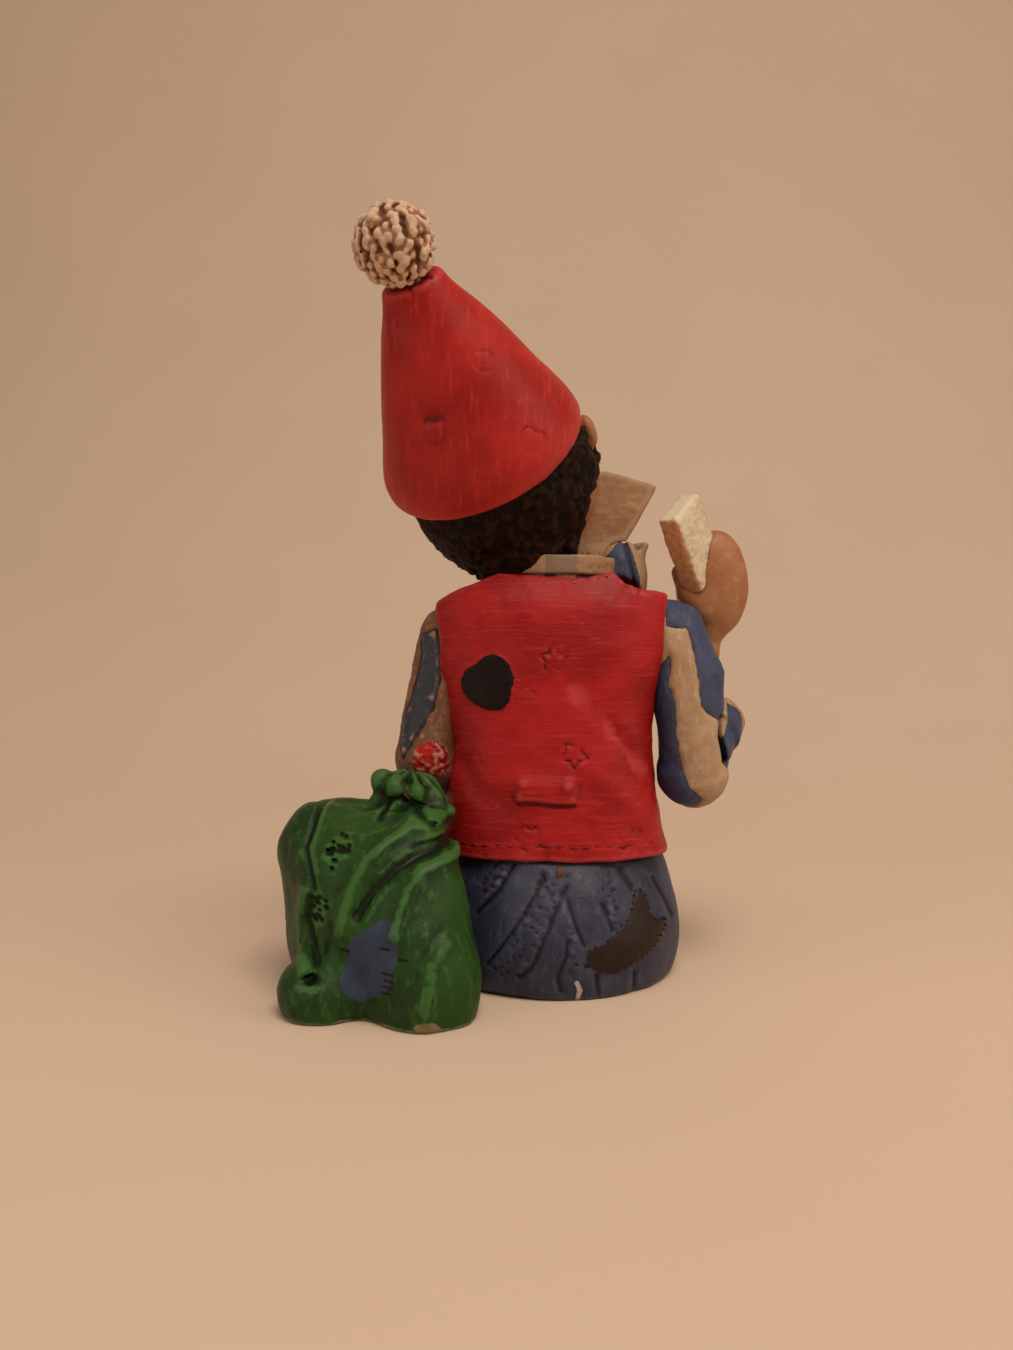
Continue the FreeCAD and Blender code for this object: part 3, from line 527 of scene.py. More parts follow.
    # Painted eyes under a drop of clear varnish: wet-looking, with a brown iris.
    m["eyes"] = painted_resin("varnished_acrylic_eyes", "f0e9dc", "e2d8c6", "faf6ee",
                              coats=[("iris", "5c3a20", 0.02), ("pupil", "0c0a09", 0.02)],
                              rough=0.18, stroke=(2.0, 2.0, 2.0), relief=0.01, grain_depth=0.0,
                              crease_wash_and_shade="7a4b34", crease_wash_and_shade_amount=0.2, edge_mm=0.12, specular=0.6)


make_materials()


# =============================================================================================
# Geometry Nodes: stitches that follow a line
# =============================================================================================
def stitch_tree():
    """A tree that sets short round-ended threads along a line."""
    tree = bpy.data.node_groups.new("stitch_run", "GeometryNodeTree")
    face = tree.interface
    face.new_socket("Line", in_out="INPUT", socket_type="NodeSocketGeometry")
    for label, kind in (
        ("Pitch", "NodeSocketFloat"), ("Length", "NodeSocketFloat"), ("Thickness", "NodeSocketFloat"),
        ("Waver", "NodeSocketFloat"), ("Seed", "NodeSocketInt"), ("Thread", "NodeSocketMaterial"),
    ):
        face.new_socket(label, in_out="INPUT", socket_type=kind)
    face.new_socket("Stitches", in_out="OUTPUT", socket_type="NodeSocketGeometry")
    given = add(tree, "NodeGroupInput")
    curve = add(tree, "GeometryNodeResampleCurve", {"mode": "LENGTH"},
                {"Curve": given.outputs["Line"], "Length": given.outputs["Pitch"]})
    points = add(tree, "GeometryNodeCurveToPoints", {"mode": "EVALUATED"}, {"Curve": curve})
    thread = add(tree, "GeometryNodeMeshUVSphere", {"Segments": 8, "Rings": 6, "Radius": 0.5})
    half = add(tree, "ShaderNodeCombineXYZ", None,
               {0: given.outputs["Thickness"], 1: given.outputs["Thickness"],
                2: given.outputs["Length"]})
    spread = add(tree, "FunctionNodeRandomValue", {"data_type": "FLOAT_VECTOR"},
                 {"Seed": given.outputs["Seed"]})
    spread.inputs[0].default_value = (-1, -1, -1)
    spread.inputs[1].default_value = (1, 1, 1)
    waver = add(tree, "ShaderNodeVectorMath", {"operation": "SCALE"},
                {0: spread, "Scale": given.outputs["Waver"]})
    turn = add(tree, "FunctionNodeRotateEuler", {"space": "LOCAL"},
               {"Rotation": points.outputs["Rotation"], "Rotate By": waver})
    set_out = add(tree, "GeometryNodeInstanceOnPoints", None,
                  {"Points": points, "Instance": thread, "Rotation": turn, "Scale": half})
    whole = add(tree, "GeometryNodeRealizeInstances", None, {0: set_out})
    shown = add(tree, "GeometryNodeSetMaterial", None,
                {"Geometry": whole, "Material": given.outputs["Thread"]})
    add(tree, "NodeGroupOutput", None, {0: shown})
    return tree


STITCHES = stitch_tree()


def grown(tree, name, base, sizes):
    """What a tree grows on a base object, as a plain mesh object."""
    modifier = base.modifiers.new("grow", "NODES")
    modifier.node_group = tree
    for item in tree.interface.items_tree:
        if item.in_out == "INPUT" and item.name in sizes:
            modifier[item.identifier] = sizes[item.name]
    view = bpy.context.evaluated_depsgraph_get()
    mesh = bpy.data.meshes.new_from_object(base.evaluated_get(view))
    base.modifiers.remove(modifier)
    mesh.name = name
    for polygon in mesh.polygons:
        polygon.use_smooth = True
    piece = bpy.data.objects.new(name, mesh)
    bpy.context.scene.collection.objects.link(piece)
    return piece


def line_object(name, runs):
    """A curve object through runs of points in millimetres."""
    curve = bpy.data.curves.new(name, "CURVE")
    curve.dimensions = "3D"
    for points in runs:
        spline = curve.splines.new("POLY")
        spline.points.add(len(points) - 1)
        for k, p in enumerate(points):
            spline.points[k].co = (p[0] * MM, p[1] * MM, p[2] * MM, 1)
    made = bpy.data.objects.new(name, curve)
    bpy.context.scene.collection.objects.link(made)
    return made


def sew(name, runs, material, pitch=1.5, length=0.95, thick=0.42, waver=0.15, seed=1):
    """Rows of stitches along runs of points that lie on a piece's surface."""
    base = line_object(name + "_line", runs)
    piece = grown(STITCHES, name, base, {
        "Pitch": pitch * MM, "Length": length * MM, "Thickness": thick * MM,
        "Waver": waver, "Seed": seed, "Thread": material,
    })
    bpy.data.objects.remove(base)
    finish_piece(piece, [])
    return piece


def along_back(clay, points, step=0.8, sink=0.1):
    """A drawn line (x, z) laid on the clay's back, as points just under its surface."""
    run = []
    for (xa, za), (xb, zb) in zip(points, points[1:]):
        count = max(1, int(math.hypot(xb - xa, zb - za) / step))
        for k in range(count):
            share = k / count
            met = clay.back_skin(xa + (xb - xa) * share, za + (zb - za) * share)
            if met:
                run.append((met[0], met[1] - sink, met[2]))
    return run


# =============================================================================================
# Hat and pompom
# =============================================================================================
def make_hat():
    low, high = corners("hat")
    clay = Clay(low - 2, high + 2, 0.3)
    P = clay.P
    form = clay.smooth(0.6, clay.of_node("hat", 4.0))
    form += 0.22 * clay.lumps(9.0, 11) + 0.06 * clay.lumps(2.6, 12)
    behind = towards_back(P, 9.0)
    spots = [(19.9, 109.4, 2.1, 0.2), (10.5, 98.7, 1.9, -0.2), (3.2, 87.1, 2.3, 0.35),
             (-1.4, 94.6, 1.6, 0.6), (18.4, 88.4, 2.3, 0.0)]
    for k, (x, z, wide, spin) in enumerate(spots):
        gap = outline_gap(P[0], P[2], clover((x, z), wide, spin), closed=True)
        broken = 0.6 + 0.55 * clay.lumps(1.7, 14 + k)
        form += 0.26 * broken * np.exp(-((gap / 0.24) ** 2)) * behind
    dent = np.exp(-(((P[0] - 18.6) / 2.4) ** 2 + ((P[2] - 90.6) / 1.1) ** 2))
    form += 0.6 * dent * behind
    clay.d = form
    return cast(clay, "hat_felt_cone", ["hat"], MATERIALS["hat"])


def make_pompom():
    low, high = corners("pompom")
    at = (low + high) / 2
    at[2] = high[2] - 6.6
    clay = Clay(low - 1.5, high + 1.5, 0.22)
    rng = np.random.default_rng(5)
    form = egg(clay.P, at, (5.4, 5.4, 5.4))
    count = 190
    for k in range(count):
        up = 1 - 2 * (k + 0.5) / count
        ring = math.sqrt(1 - up * up)
        turn = k * 2.399963 + rng.uniform(-0.16, 0.16)
        reach = 5.5 + rng.uniform(-0.3, 0.35)
        spot = at + reach * np.array([ring * math.cos(turn), ring * math.sin(turn), up])
        size = rng.uniform(0.55, 0.95)
        form = blend_min(form, egg(clay.P, spot, (size, size, size * 1.15)), 0.35)
    form += 0.18 * clay.lumps(0.8, 3) + 0.1 * clay.lumps(0.45, 4)
    clay.d = form.astype(np.float32)
    return cast(clay, "pompom_fleece", ["pompom"], MATERIALS["fleece"])


# =============================================================================================
# Trousers: seat and legs in one run of cloth, scored into panels that fan from the waist
# =============================================================================================
def drawn(node, points):
    """A line or outline drawn on a piece's back, from the middle of that piece, as (x, z)."""
    mid = centre(node)
    return [(mid[0] + x, mid[2] + z) for x, z in points]


def only_behind(at, y):
    """Nothing behind a plane that faces backwards; in front of it, enough to keep paint away."""
    return np.where(at[1] > y, 0, 9)


def towards_back(P, y, width=1.5):
    """1 on the side that faces backwards, 0 on the front."""
    return 1 / (1 + np.exp(-(P[1] - y) / width))


def press(form, P, line, wide, deep, y_from, closed=False):
    """Draws a line into clay from behind; a negative depth raises a ridge instead."""
    gap = outline_gap(P[0], P[2], line, closed)
    form += deep * np.exp(-((gap / wide) ** 2)) * towards_back(P, y_from)


def prick(form, P, area, pitch, size, deep, seed, y_from):
    """Scatters small pits over a drawn area, seen from behind."""
    rng = np.random.default_rng(seed)
    xs, zs = [p[0] for p in area], [p[1] for p in area]
    back = towards_back(P, y_from)
    total = 0
    for x in np.arange(min(xs), max(xs), pitch):
        for z in np.arange(min(zs), max(zs), pitch * 0.8):
            px, pz = x + rng.uniform(-0.4, 0.4) * pitch, z + rng.uniform(-0.4, 0.4) * pitch
            if inside_outline(np.array([px]), np.array([pz]), area)[0] > 0 or rng.random() < 0.18:
                continue
            wide = size * rng.uniform(0.7, 1.3)
            total = total + np.exp(-(((P[0] - px) / wide) ** 2 + ((P[2] - pz) / wide / 0.6) ** 2))
    form += deep * np.minimum(total, 1) * back


SEAT_PATCH = [
    (-13.2, 5.4), (-14.2, 5.4), (-15.2, 4.3), (-15.6, 2.5), (-16.1, 1.1), (-17.0, 0.5),
    (-18.5, 0.5), (-18.5, -0.7), (-17.4, -2.1), (-16.6, -3.2), (-14.5, -4.5), (-11.8, -5.6),
    (-10.0, -6.3), (-8.1, -6.2), (-6.5, -5.3), (-5.6, -4.4), (-5.4, -3.0), (-6.2, -2.2),
    (-7.8, -1.7), (-9.4, -0.8), (-10.8, 0.4), (-11.8, 1.5), (-12.6, 2.7), (-12.9, 4.3),
]
SEAT_SCORES = [
    [(1.3, 8.1), (2.9, 4.9), (5.5, 0.9), (7.9, -2.4), (10.0, -5.1)],
    [(-2.2, 6.5), (-0.3, 2.5), (1.5, -1.8), (3.1, -5.0), (5.0, -6.7)],
    [(-2.4, 4.7), (-3.5, 1.5), (-4.8, -1.7)],
    [(-2.4, -1.2), (-2.2, -3.3), (-0.9, -6.5), (-1.4, -8.6)],
    [(-7.8, 4.0), (-8.6, 2.4), (-9.4, 0.2)],
    [(-10.8, 8.9), (-12.7, 5.7)],
    [(-16.4, 6.7), (-18.1, 3.6), (-19.8, 0.0)],
    [(6.1, 9.5), (8.3, 6.0), (11.8, 2.2)],
    [(-6.9, -6.4), (-7.2, -9.4)],
    [(-12.9, -6.7), (-12.9, -9.4)],
]
SEAT_PRICKED = [
    [(1.8, 7.6), (-2.5, 9.0), (-0.3, 2.5), (2.3, -2.3), (5.6, -6.9), (10.1, -7.8), (7.7, -3.2), (3.9, 3.0)],
    [(-2.4, 0.9), (-3.2, 1.0), (-5.9, -5.9), (-2.4, -6.0)],
    [(-7.3, 8.8), (-9.4, 8.8), (-10.8, 0.5), (-9.4, 1.0)],
    [(11.9, 9.2), (6.2, 10.7), (8.3, 5.7), (11.6, 3.3)],
]


def make_trousers():
    nodes = ["trousers_seat", "left_trouser_leg", "right_trouser_leg", "trousers_patch"]
    low, high = corners(*nodes)
    clay = Clay(low - 1.5, high + 1.5, 0.36)
    P = clay.P
    form = clay.smooth(0.7, clay.of_node("trousers_seat"))
    for side in ("left", "right"):
        leg = clay.smooth(0.7, clay.of_node(f"{side}_trouser_leg"))
        form = blend_min(form, leg, 3.0)
    form += 0.3 * clay.lumps(8.0, 21) + 0.08 * clay.lumps(2.0, 22)
    for side in (-1, 1):
        for k, (y, z) in enumerate(((-21.0, 12.5), (-23.5, 10.5), (-19.0, 9.0), (-33.0, 11.5))):
            knee = [side * 11.2, y, z]
            ring = np.abs((P[1] - y) * 0.75 + (P[2] - z) * (0.66 if k % 2 else -0.3))
            near = np.exp(-(((P[0] - knee[0]) / 7.5) ** 2 + ((P[1] - y) / 5) ** 2 + ((P[2] - z) / 7) ** 2))
            form += 0.55 * np.exp(-((ring / 0.8) ** 2)) * near
    middle = centre("trousers_seat")[1]
    for line in SEAT_SCORES:
        press(form, P, drawn("trousers_seat", line), 0.4, 0.42, middle + 3)
    for k, area in enumerate(SEAT_PRICKED):
        prick(form, P, drawn("trousers_seat", area), 0.95, 0.3, 0.34, 60 + k, middle + 4)
    patch = drawn("trousers_seat", SEAT_PATCH)
    gap = inside_outline(P[0], P[2], patch)
    form -= 0.28 / (1 + np.exp(gap / 0.22)) * towards_back(P, middle + 2)
    clay.d = np.maximum(form, -P[2]).astype(np.float32)
    fold = middle + 3

    def patch_rule(at):
        jagged = 0.22 * np.sin(at[0] * 9.0) * np.sin(at[2] * 9.0 + 1)
        return inside_outline(at[0], at[2], patch) + jagged + only_behind(at, fold)

    def rust_rule(at):
        spots = [(1.8, 7.4, 0.35), (3.2, 5.5, 0.3), (-1.4, 8.5, 0.7), (10.4, 4.9, 0.3)]
        mid = centre("trousers_seat")
        gaps = [np.hypot(at[0] - mid[0] - x, (at[2] - mid[2] - z) * 0.7) - r for x, z, r in spots]
        return np.minimum.reduce(gaps) + only_behind(at, fold)

    def chip_rule(at):
        line = drawn("trousers_seat", [(-3.8, -7.4), (-4.3, -8.6), (-3.8, -10.6)])
        return outline_gap(at[0], at[2], line, False) - 0.35 + only_behind(at, fold)

    paints = {"patch": patch_rule, "rust": rust_rule, "chip": chip_rule}
    cast(clay, "trousers_scored", nodes, MATERIALS["trousers"], paints)
    ring = patch + patch[:1]
    sew("trousers_patch_stitches", [along_back(clay, ring, 0.5, 0.05)], MATERIALS["patch"],
        pitch=1.15, length=0.8, thick=0.36, waver=0.8, seed=4)


# =============================================================================================
# Shirt: body and neck, the gathered shoulder, and the collar
# =============================================================================================
def make_shirt():
    nodes = ["shirt_body"]
    low, high = corners(*nodes)
    clay = Clay(low - 1, high + 1, 0.45)
    form = clay.smooth(0.6, clay.of_node("shirt_body")) - 0.15
    form += 0.2 * clay.lumps(4.0, 31)
    placket = np.exp(-((clay.P[0] / 1.5) ** 4)) * (clay.P[1] < 0)
    form -= 0.35 * placket
    clay.d = form.astype(np.float32)

    def stripe(at):
        return 1.1 - np.abs(((at[0] + 0.4 * np.sin(at[2] * 0.25) + 2.6) % 5.2) - 2.6)

    paints = {"stripe": lambda at: -stripe(at) + 0.2, "stripe_line": lambda at: np.abs(stripe(at)) - 0.05}
    cast(clay, "shirt_front", nodes, MATERIALS["shirt"], paints)


def make_shirt_shoulder():
    low, high = corners("shirt_shoulder")
    clay = Clay(low - 2, high + 2, 0.22)
    P = clay.P
    form = clay.smooth(0.5, clay.of_node("shirt_shoulder"))
    mid = centre("shirt_shoulder")
    wing = slab(P, [mid[0] - 1.9, mid[1] - 0.6, mid[2] + 0.4], [0.7, 3.0, 5.6], 0.6,
                turned("Y", -20) @ turned("Z", 16))
    form = blend_min(form, wing, 1.2)
    tuck = [(mid[0] - 0.4, mid[2] + 6.6), (mid[0] - 1.2, mid[2] + 2), (mid[0] - 2.6, mid[2] - 4)]
    press(form, P, tuck, 0.4, 0.6, mid[1] - 2)
    form += 0.18 * clay.lumps(1.8, 41)
    clay.d = form.astype(np.float32)
    blue = [
        (-0.6, 6.6), (2.2, 3.2), (5.2, 1.0), (5.2, -5), (-3.2, -5), (-3.0, -1.0), (-2.0, 2.4),
        (-1.3, 5.0),
    ]
    outline = drawn("shirt_shoulder", blue)
    paints = {
        "stripe": lambda at: inside_outline(at[0], at[2], outline),
        "stripe_line": lambda at: np.abs(inside_outline(at[0], at[2], outline)) - 0.12,
    }
    cast(clay, "shirt_shoulder_gather", ["shirt_shoulder"], MATERIALS["shirt"], paints)


def make_collar():
    low, high = corners("shirt_collar")
    clay = Clay(low - 1, high + 1, 0.25)
    form = clay.smooth(0.3, clay.of_node("shirt_collar", 3.0)) - 0.12
    # The turned-up wing reaches in, a millimetre at a time, until it meets the hair.
    band_top, wing_edge, wing_steps = 70.5, -3.5, 4
    beside_cheek = (clay.P[2] > band_top) & (clay.P[0] < wing_edge)
    for _ in range(wing_steps):
        nearer = np.roll(form, int(round(1.0 / clay.grain)), 0)
        form = np.where(beside_cheek, np.minimum(form, nearer), form)
    form += 0.14 * clay.lumps(3.0, 51) + 0.05 * clay.lumps(0.9, 52)
    clay.d = form.astype(np.float32)
    turn_down = centre("vest")[2] + 31

    def blue(at):
        inner = np.abs(at[0] + 1.6) - 2.5
        return np.maximum(inner, at[2] - turn_down) + only_behind(at, -4)

    paints = {"stripe": blue, "stripe_line": lambda at: np.abs(blue(at)) - 0.12}
    # The collar's tan paint is painted shade; its lighter edges are a painted highlight.
    cast(clay, "collar_wings", ["shirt_collar"], MATERIALS["collar"], paints)


# =============================================================================================
# Vest: a boxy shell with armholes, worn open in front
# =============================================================================================
def make_vest():
    low, high = corners("vest")
    clay = Clay(low - [2.5, 2.5, 2.5], high + [2.5, 2.5, 2.0], 0.365)
    P = clay.P
    x, y, z = P
    foot, top = low[2], high[2]
    tall = top - foot
    levels = [
        (foot - 0.5, 19.8, 15.6, 0, 1.2), (foot + 2, 19.2, 15.3, 0, 1.2),
        (foot + tall * 0.2, 18.1, 14.4, 0.1, 1.2), (foot + tall * 0.42, 17.1, 13.5, 0.3, 1.0),
        (foot + tall * 0.58, 18.2, 13.4, 0.4, 0.6), (foot + tall * 0.68, 19.9, 13.1, 0.4, 0.4),
        (foot + tall * 0.87, 21.0, 12.0, 0.4, 0), (foot + tall * 0.93, 21.0, 10.8, 0.4, 0),
        (foot + tall * 0.97, 20.8, 9.8, 0.4, -0.2), (top + 0.8, 20.4, 9.0, 0.4, -0.4),
    ]
    skin = column(P, levels, 0.0, 2.7)
    shoulder = foot + tall * 0.93
    run = [-21, -19.6, -15, -12.2, -10.2, -6.0, -1.0, 4.0, 8.9, 12.0, 15.8, 20.6]
    fall = [-3.6, -3.3, -2.9, -1.9, 0.1, -1.0, -1.1, -0.9, -0.4, -1.6, -2.9, -4.9]
    slope = z - (top + 0.1 + np.interp(x, run, fall).astype(np.float32))
    skin = blend_max(skin, slope * 0.85, 0.9)
    hem = foot - 0.2 + 0.16 * np.sin(x * 0.33 + 0.6) + 0.07 * np.sin(x * 0.9 + 2)
    skin = blend_max(skin, hem - z, 0.8)
    inner = column(P, levels, -1.7, 2.4)
    form = np.maximum(skin, -np.maximum(inner, z - (shoulder - 1.5)))
    for side in (-1, 1):
        hole = egg(P, [side * 19.5, 0.2, foot + tall * 0.73], [6.0, 6.6, 12.0])
        form = blend_max(form, -hole, 0.8)
    front = np.maximum(np.abs(x) - (4.4 + 0.2 * np.maximum(z - 42, 0)), y + 1.0)
    form = blend_max(form, -front, 0.8)
    neck = egg(P, [-0.4, -3.0, top + 1.2], [9.6, 9.6, 3.6])
    form = blend_max(form, -neck, 0.6)
    form += 0.32 * clay.lumps(9.0, 61) + 0.14 * clay.lumps(3.0, 62) + 0.06 * clay.lumps(1.1, 63)
    back = centre("vest")[1] + 4
    for line, wide, deep in (
        ([(-9.5, -2.5), (-13.0, -7.5), (-18.0, -11.5)], 1.8, 0.55),
        ([(-5.0, -8.5), (-10.0, -12.0), (-15.5, -17.0)], 2.0, -0.4),
        ([(-11.0, -1.5), (-16.0, -4.5)], 1.3, -0.35),
        ([(8.5, -15.0), (13.0, -11.0), (17.0, -5.5)], 2.0, 0.45),
        ([(-3.0, 4.0), (-9.0, -1.0)], 1.8, 0.3),
    ):
        press(form, P, drawn("vest", line), wide, deep, back)
    for k, (sx, sz, size, whole) in enumerate(VEST_STAMPS):
        shape = star((0, 0), size, 0.37 * k, seed=200 + k)
        spot = drawn("vest", [(sx, sz)])[0]
        gap = outline_gap(x - spot[0], z - spot[1], shape)
        patchy = np.clip(whole + 0.9 * clay.lumps(1.5, 70 + k), 0, 1.1)
        form += 0.42 * patchy * np.exp(-((gap / 0.21) ** 2)) * towards_back(P, back)
    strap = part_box("vest_half_belt")
    mid = centre("vest_half_belt")
    half = [(strap[1][0] - strap[0][0]) / MM / 2 - 0.4, (strap[1][2] - strap[0][2]) / MM / 2 - 0.2]
    bowed = z - mid[2] - 0.2 * np.sin((x - mid[0]) * 0.6)
    flat = slab([x, y * 0, bowed], [mid[0], 0, 0], [half[0], 9, half[1]], 0.6)
    edge = 0.5 - 0.32 / (1 + np.exp(bowed / 0.4))
    form -= 0.8 / (1 + np.exp(flat / edge)) * towards_back(P, back)
    under = np.exp(-(((bowed + half[1] + 0.3) / 0.26) ** 2)) * (np.abs(x - mid[0]) < half[0])
    form += 0.35 * under * towards_back(P, back)
    for end in (-1, 1):
        knob = np.hypot(x - (mid[0] + end * (half[0] - 1.3)), bowed - half[1] + 0.9)
        form -= 0.4 * np.exp(-((knob / 0.9) ** 2)) * towards_back(P, back)
    patch = drawn("vest", VEST_PATCH)
    gap = inside_outline(x, z, patch)
    form -= 0.22 / (1 + np.exp(gap / 0.2)) * towards_back(P, back)
    clay.d = form.astype(np.float32)

    def patch_rule(at):
        mid_x = sum(p[0] for p in patch) / len(patch)
        mid_z = sum(p[1] for p in patch) / len(patch)
        turn = np.arctan2(at[2] - mid_z, at[0] - mid_x)
        teeth = 0.2 * np.abs(np.sin(turn * 22))
        return inside_outline(at[0], at[2], patch) + teeth + only_behind(at, back)

    cast(clay, "vest_shell", ["vest", "vest_half_belt", "vest_back_patch"],
         MATERIALS["vest"], {"patch": patch_rule})
    hem_line = [(18.0 - 0.5 * k, -21.0 + 0.12 * math.sin(k * 0.4)) for k in range(70)]
    neck_line = [(2.0, 21.2), (-3.0, 21.3), (-6.5, 21.9), (-9.5, 22.7)]
    sew("vest_hem_stitches", [along_back(clay, drawn("vest", hem_line), 0.5, 0.0)],
        MATERIALS["vest_thread"], pitch=2.05, length=1.3, thick=0.36, waver=0.12,
        seed=8)
    sew("vest_neck_stitches", [along_back(clay, drawn("vest", neck_line), 0.5, 0.0)],
        MATERIALS["neck_thread"], pitch=1.3, length=0.5, thick=0.34, waver=0.12,
        seed=9)


VEST_STAMPS = [
    (-0.3, 8.7, 2.4, 0.75),
    (11.5, 15.5, 2.1, 0.05),
    (-12.9, 19.0, 2.2, 0.2),
    (-14.9, 9.4, 1.7, -0.1),
    (4.3, 3.0, 1.9, 0.1),
    (-3.5, -6.5, 2.3, 0.7),
    (-9.0, -4.6, 1.9, 0.1),
    (-13.8, -7.9, 2.1, 0.1),
    (12.8, -8.6, 2.2, 0.15),
    (3.7, -19.7, 2.4, 0.7),
    (-12.3, -19.7, 2.2, 0.25),
]
VEST_PATCH = [
    (15.1, 5.4), (14.4, 7.0), (12.6, 8.1), (11.1, 9.4), (9.6, 9.8), (8.3, 9.4), (6.7, 8.1), (6.4, 7.0),
    (5.8, 5.8), (6.4, 3.9), (6.6, 2.0), (7.9, 0.5), (10.2, 0.3), (12.5, 1.3), (14.0, 2.4), (14.9, 3.9),
]


def make_buttons():
    low, high = corners("vest_buttons")
    clay = Clay(low - 1, high + 1, 0.16)
    raw = clay.of_node("vest_buttons", 2.0)
    form = clay.smooth(0.3, raw)
    clay.d = form.astype(np.float32)
    cast(clay, "vest_buttons_domed", ["vest_buttons"], MATERIALS["rope"])


# =============================================================================================
# Sleeves and cuffs
# =============================================================================================
LEFT_BLUE = [
    (2.6, 12.7), (-0.3, 13.6), (-1.1, 9.2), (-1.1, 4.8), (0.0, 0.3), (2.6, -4.1), (5.2, -8.1),
    (5.8, -6.3), (5.8, -2.6), (4.1, 1.4), (2.8, 5.9), (2.2, 9.5),
]
RIGHT_BLUES = [
    [(6.2, 18.6), (3.5, 18.8), (2.2, 16.9), (2.2, 15.3), (3.1, 13.0), (6.0, 13.4)],
    [(3.2, 20.7), (-2.4, 18.6), (-4.5, 11.5), (-5.9, 6.9), (-5.2, 2.4), (-3.4, -2.8), (-0.9, -1.3),
     (0.3, -0.1), (0.7, 3.6), (1.3, 8.6), (2.2, 12.3), (3.0, 13.6)],
    [(5.7, 8.2), (5.5, 7.3), (5.9, 3.6), (4.8, 0.7), (4.6, -4.7), (3.6, -10.5), (2.3, -13.8),
     (-0.1, -15.9), (0.7, -17.3), (4.4, -17.1), (7.3, -15.9), (8.3, -11.8), (9.1, -7.6), (8.7, -3.4),
     (7.9, 1.1), (7.3, 6.1)],
]


def make_right_sleeve():
    nodes = ["right_sleeve", "right_cuff"]
    low, high = corners(*nodes)
    clay = Clay(low - 1.5, high + 1.5, 0.26)
    P = clay.P
    arm = clay.smooth(0.5, clay.of_node("right_sleeve"))
    cuff = clay.smooth(0.3, clay.of_node("right_cuff"))
    form = blend_min(arm, cuff, 1.2)
    top = [low[0] + 14.2, 0.8, high[2] - 5.2]
    full = chain(P, [top, [top[0] - 3.3, 1.4, top[2] - 8.0], [top[0] - 3.6, 1.6, top[2] - 15]],
                 [5.3, 5.0, 4.8], 1.0)
    form = blend_min(form, full, 1.5)
    form += 0.26 * clay.lumps(5.0, 81) + 0.12 * clay.lumps(1.8, 82) + 0.05 * clay.lumps(0.8, 83)
    mid = centre("right_sleeve")
    for line, wide, deep in (
        ([(-3.6, -2.4), (-3.3, -5.5), (-4.4, -9.4)], 0.75, 1.7),
        ([(-4.6, -9.5), (-2.0, -12.0), (1.0, -12.6)], 1.2, 0.4),
        ([(0.5, -3.0), (3.5, -6.0)], 1.2, 0.35),
    ):
        press(form, P, drawn("right_sleeve", line), wide, deep, mid[1] - 3)
    areas = [drawn("right_sleeve", a) for a in RIGHT_BLUES]
    for area in areas:
        gap = inside_outline(P[0], P[2], area)
        form += 0.2 * np.exp(-(((gap - 0.1) / 0.28) ** 2)) * towards_back(P, mid[1])
    cuff_mid = centre("right_cuff")
    wrist = egg(P, [cuff_mid[0] - 0.2, cuff_mid[1] - 1.4, cuff_mid[2] + 3.4], [3.6, 3.8, 5.6],
                turned("X", 30))
    form = blend_max(form, -wrist, 0.6)
    clay.d = form.astype(np.float32)
    loop = drawn("right_cuff", [
        (-2.2, 4.0), (-6.6, 1.4), (-6.2, -1.3), (-2.6, -6.2), (-0.9, -6.6), (0.4, -3.4),
        (-1.2, -1.0), (-2.0, 0.6),
    ])

    def blue(at):
        back = np.minimum.reduce([inside_outline(at[0], at[2], a) for a in areas + [loop]])
        lane = at[0] * 0.7 + at[1] * 0.7
        front = np.abs(((lane + 2.0) % 6.4) - 3.2) - 1.5
        return np.where(at[1] > mid[1] - 4, back, front)

    slit = drawn("right_sleeve", [(-3.4, -2.2), (-3.2, -5.5), (-4.3, -9.6)])

    # Painted shade: the slit between the upper arm and the cuff is painted near black, as the fold keeps the
    # light out of it.
    def slit_painted_shade_rule(at):
        return outline_gap(at[0], at[2], slit, False) - 0.6 + only_behind(at, mid[1] - 9)

    paints = {"stripe": blue, "stripe_line": lambda at: np.abs(blue(at)) - 0.14, "hole": slit_painted_shade_rule}
    cast(clay, "right_sleeve_cloth", nodes, MATERIALS["shirt"], paints)


